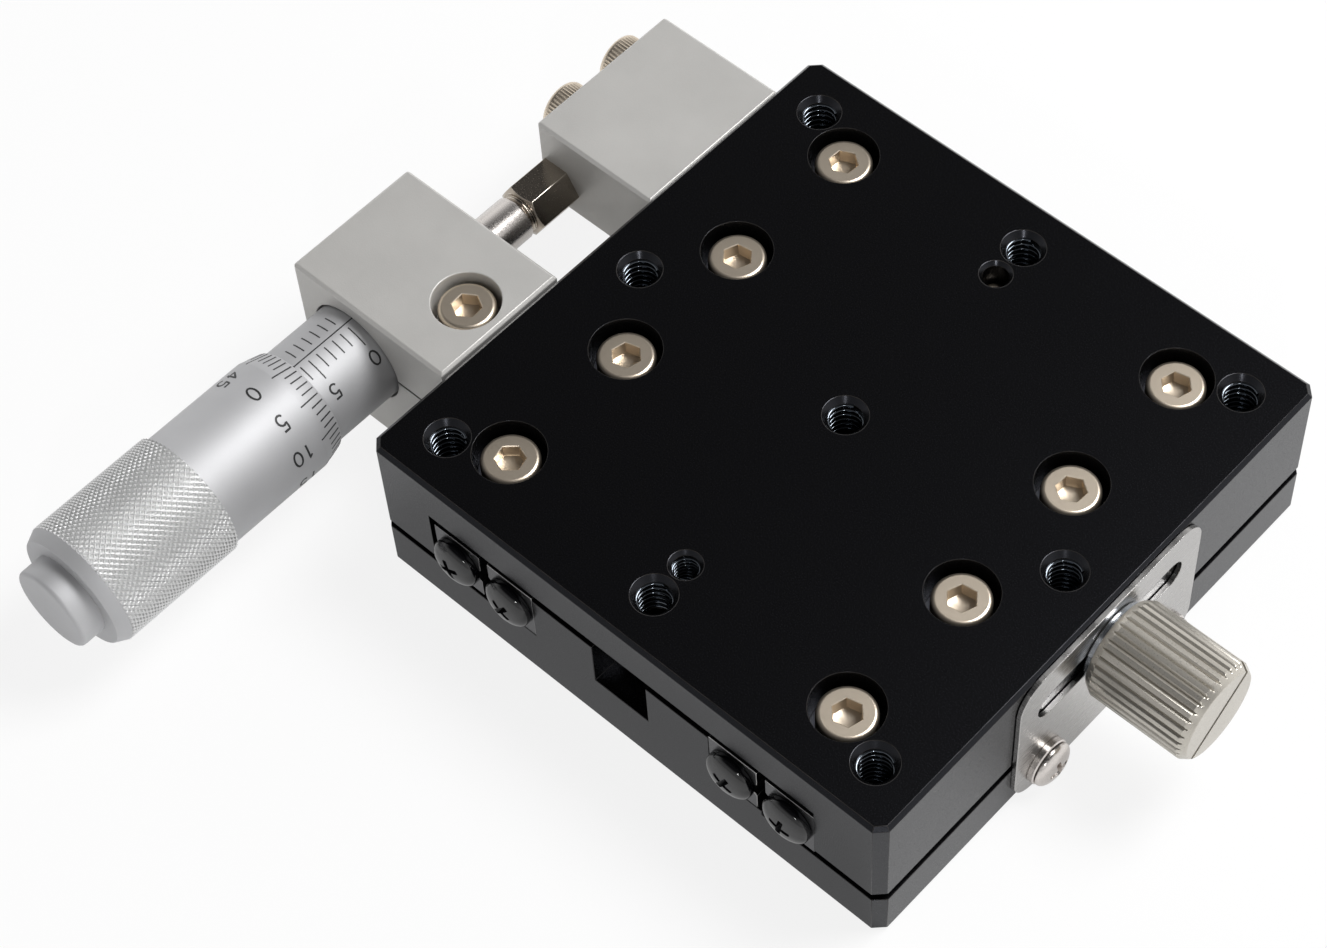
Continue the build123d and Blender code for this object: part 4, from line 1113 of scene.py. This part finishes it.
knob = new_piece("clamp_knob_worked", knob_mesh, "knob_metal")
slot_cutter_mesh = bpy.data.meshes.new("slot_cutter")
cutter_shape = bmesh.new()
bmesh.ops.create_cube(cutter_shape, size=1.0)
bmesh.ops.scale(cutter_shape, vec=Vector(SLOT_SIZE) * MM, verts=cutter_shape.verts)
cutter_shape.to_mesh(slot_cutter_mesh)
cutter_shape.free()
cutter_place = Matrix.Translation(Vector((KNOB_END, 0, CLAMP_Z)) * MM)
slot_cutter_mesh.transform(cutter_place @ Matrix.Rotation(SLOT_TURN * DEGREE, 4, "X"))
slot_cutter = bpy.data.objects.new("slot_cutter", slot_cutter_mesh)
bpy.context.collection.objects.link(slot_cutter)
cut = knob.modifiers.new("slot", "BOOLEAN")
cut.operation = "DIFFERENCE"
cut.solver = "EXACT"
cut.object = slot_cutter
settle(knob, KNOB_SMOOTH)
bpy.data.objects.remove(slot_cutter)
place_on(knob, "clamp_knob")
print("knob", len(knob.data.polygons), "faces")

# %% [markdown]
# ## The return spring
# The spring lies in the base's channel and is seen through the holes of the table. Its coil is
# one spiral and its two hooks go three quarters round the posts. One hook sits on the base's post
# and the other on the table's. The piece rides on neither body.

# %% Spring
COIL_START, COIL_END, SPRING_Z, COIL_RADIUS, WIRE_RADIUS = -22.0, 18.0, 9.3, 1.28, 0.2
COIL_TURNS, COIL_POINTS = 52, 16
BASE_POST, TABLE_POST, HOOK_RADIUS, HOOK_TURN = -25.0, 21.0, 1.05, 270
base_hook = arc(0, BASE_POST, HOOK_RADIUS, HOOK_RADIUS, -HOOK_TURN, 0)
table_hook = arc(0, TABLE_POST, HOOK_RADIUS, HOOK_RADIUS, 0, HOOK_TURN)
coil, coil_steps = [], COIL_TURNS * COIL_POINTS
for number in range(coil_steps + 1):
    turned_by = 2 * math.pi * number / COIL_POINTS
    along = COIL_START + (COIL_END - COIL_START) * number / coil_steps
    rise = COIL_RADIUS * math.sin(turned_by)
    coil.append((COIL_RADIUS * math.cos(turned_by), along, rise + SPRING_Z))
spring_points = [
    *[(x, y, SPRING_Z) for x, y in base_hook], *coil, *[(x, y, SPRING_Z) for x, y in table_hook],
]
spring_edges = [(number, number + 1) for number in range(len(spring_points) - 1)]
wire_sweep, wire_in = geometry_tree("wire_sweep", ("Wire", FLOAT), ("Material", MATERIAL))
wire_path = add_node(wire_sweep, "GeometryNodeMeshToCurve", {"Mesh": wire_in["Geometry"]})
wire = sweep(wire_sweep, wire_path.outputs[0], circle(wire_sweep, wire_in["Wire"]))
end_tree(wire_sweep, wire, wire_in)
spring = grow(
    "return_spring_worked", wire_sweep, "spring_wire", {"Wire": WIRE_RADIUS * MM},
    mesh_from("spring_path", spring_points, spring_edges), smooth_under=60,
)
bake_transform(spring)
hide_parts("return_spring")
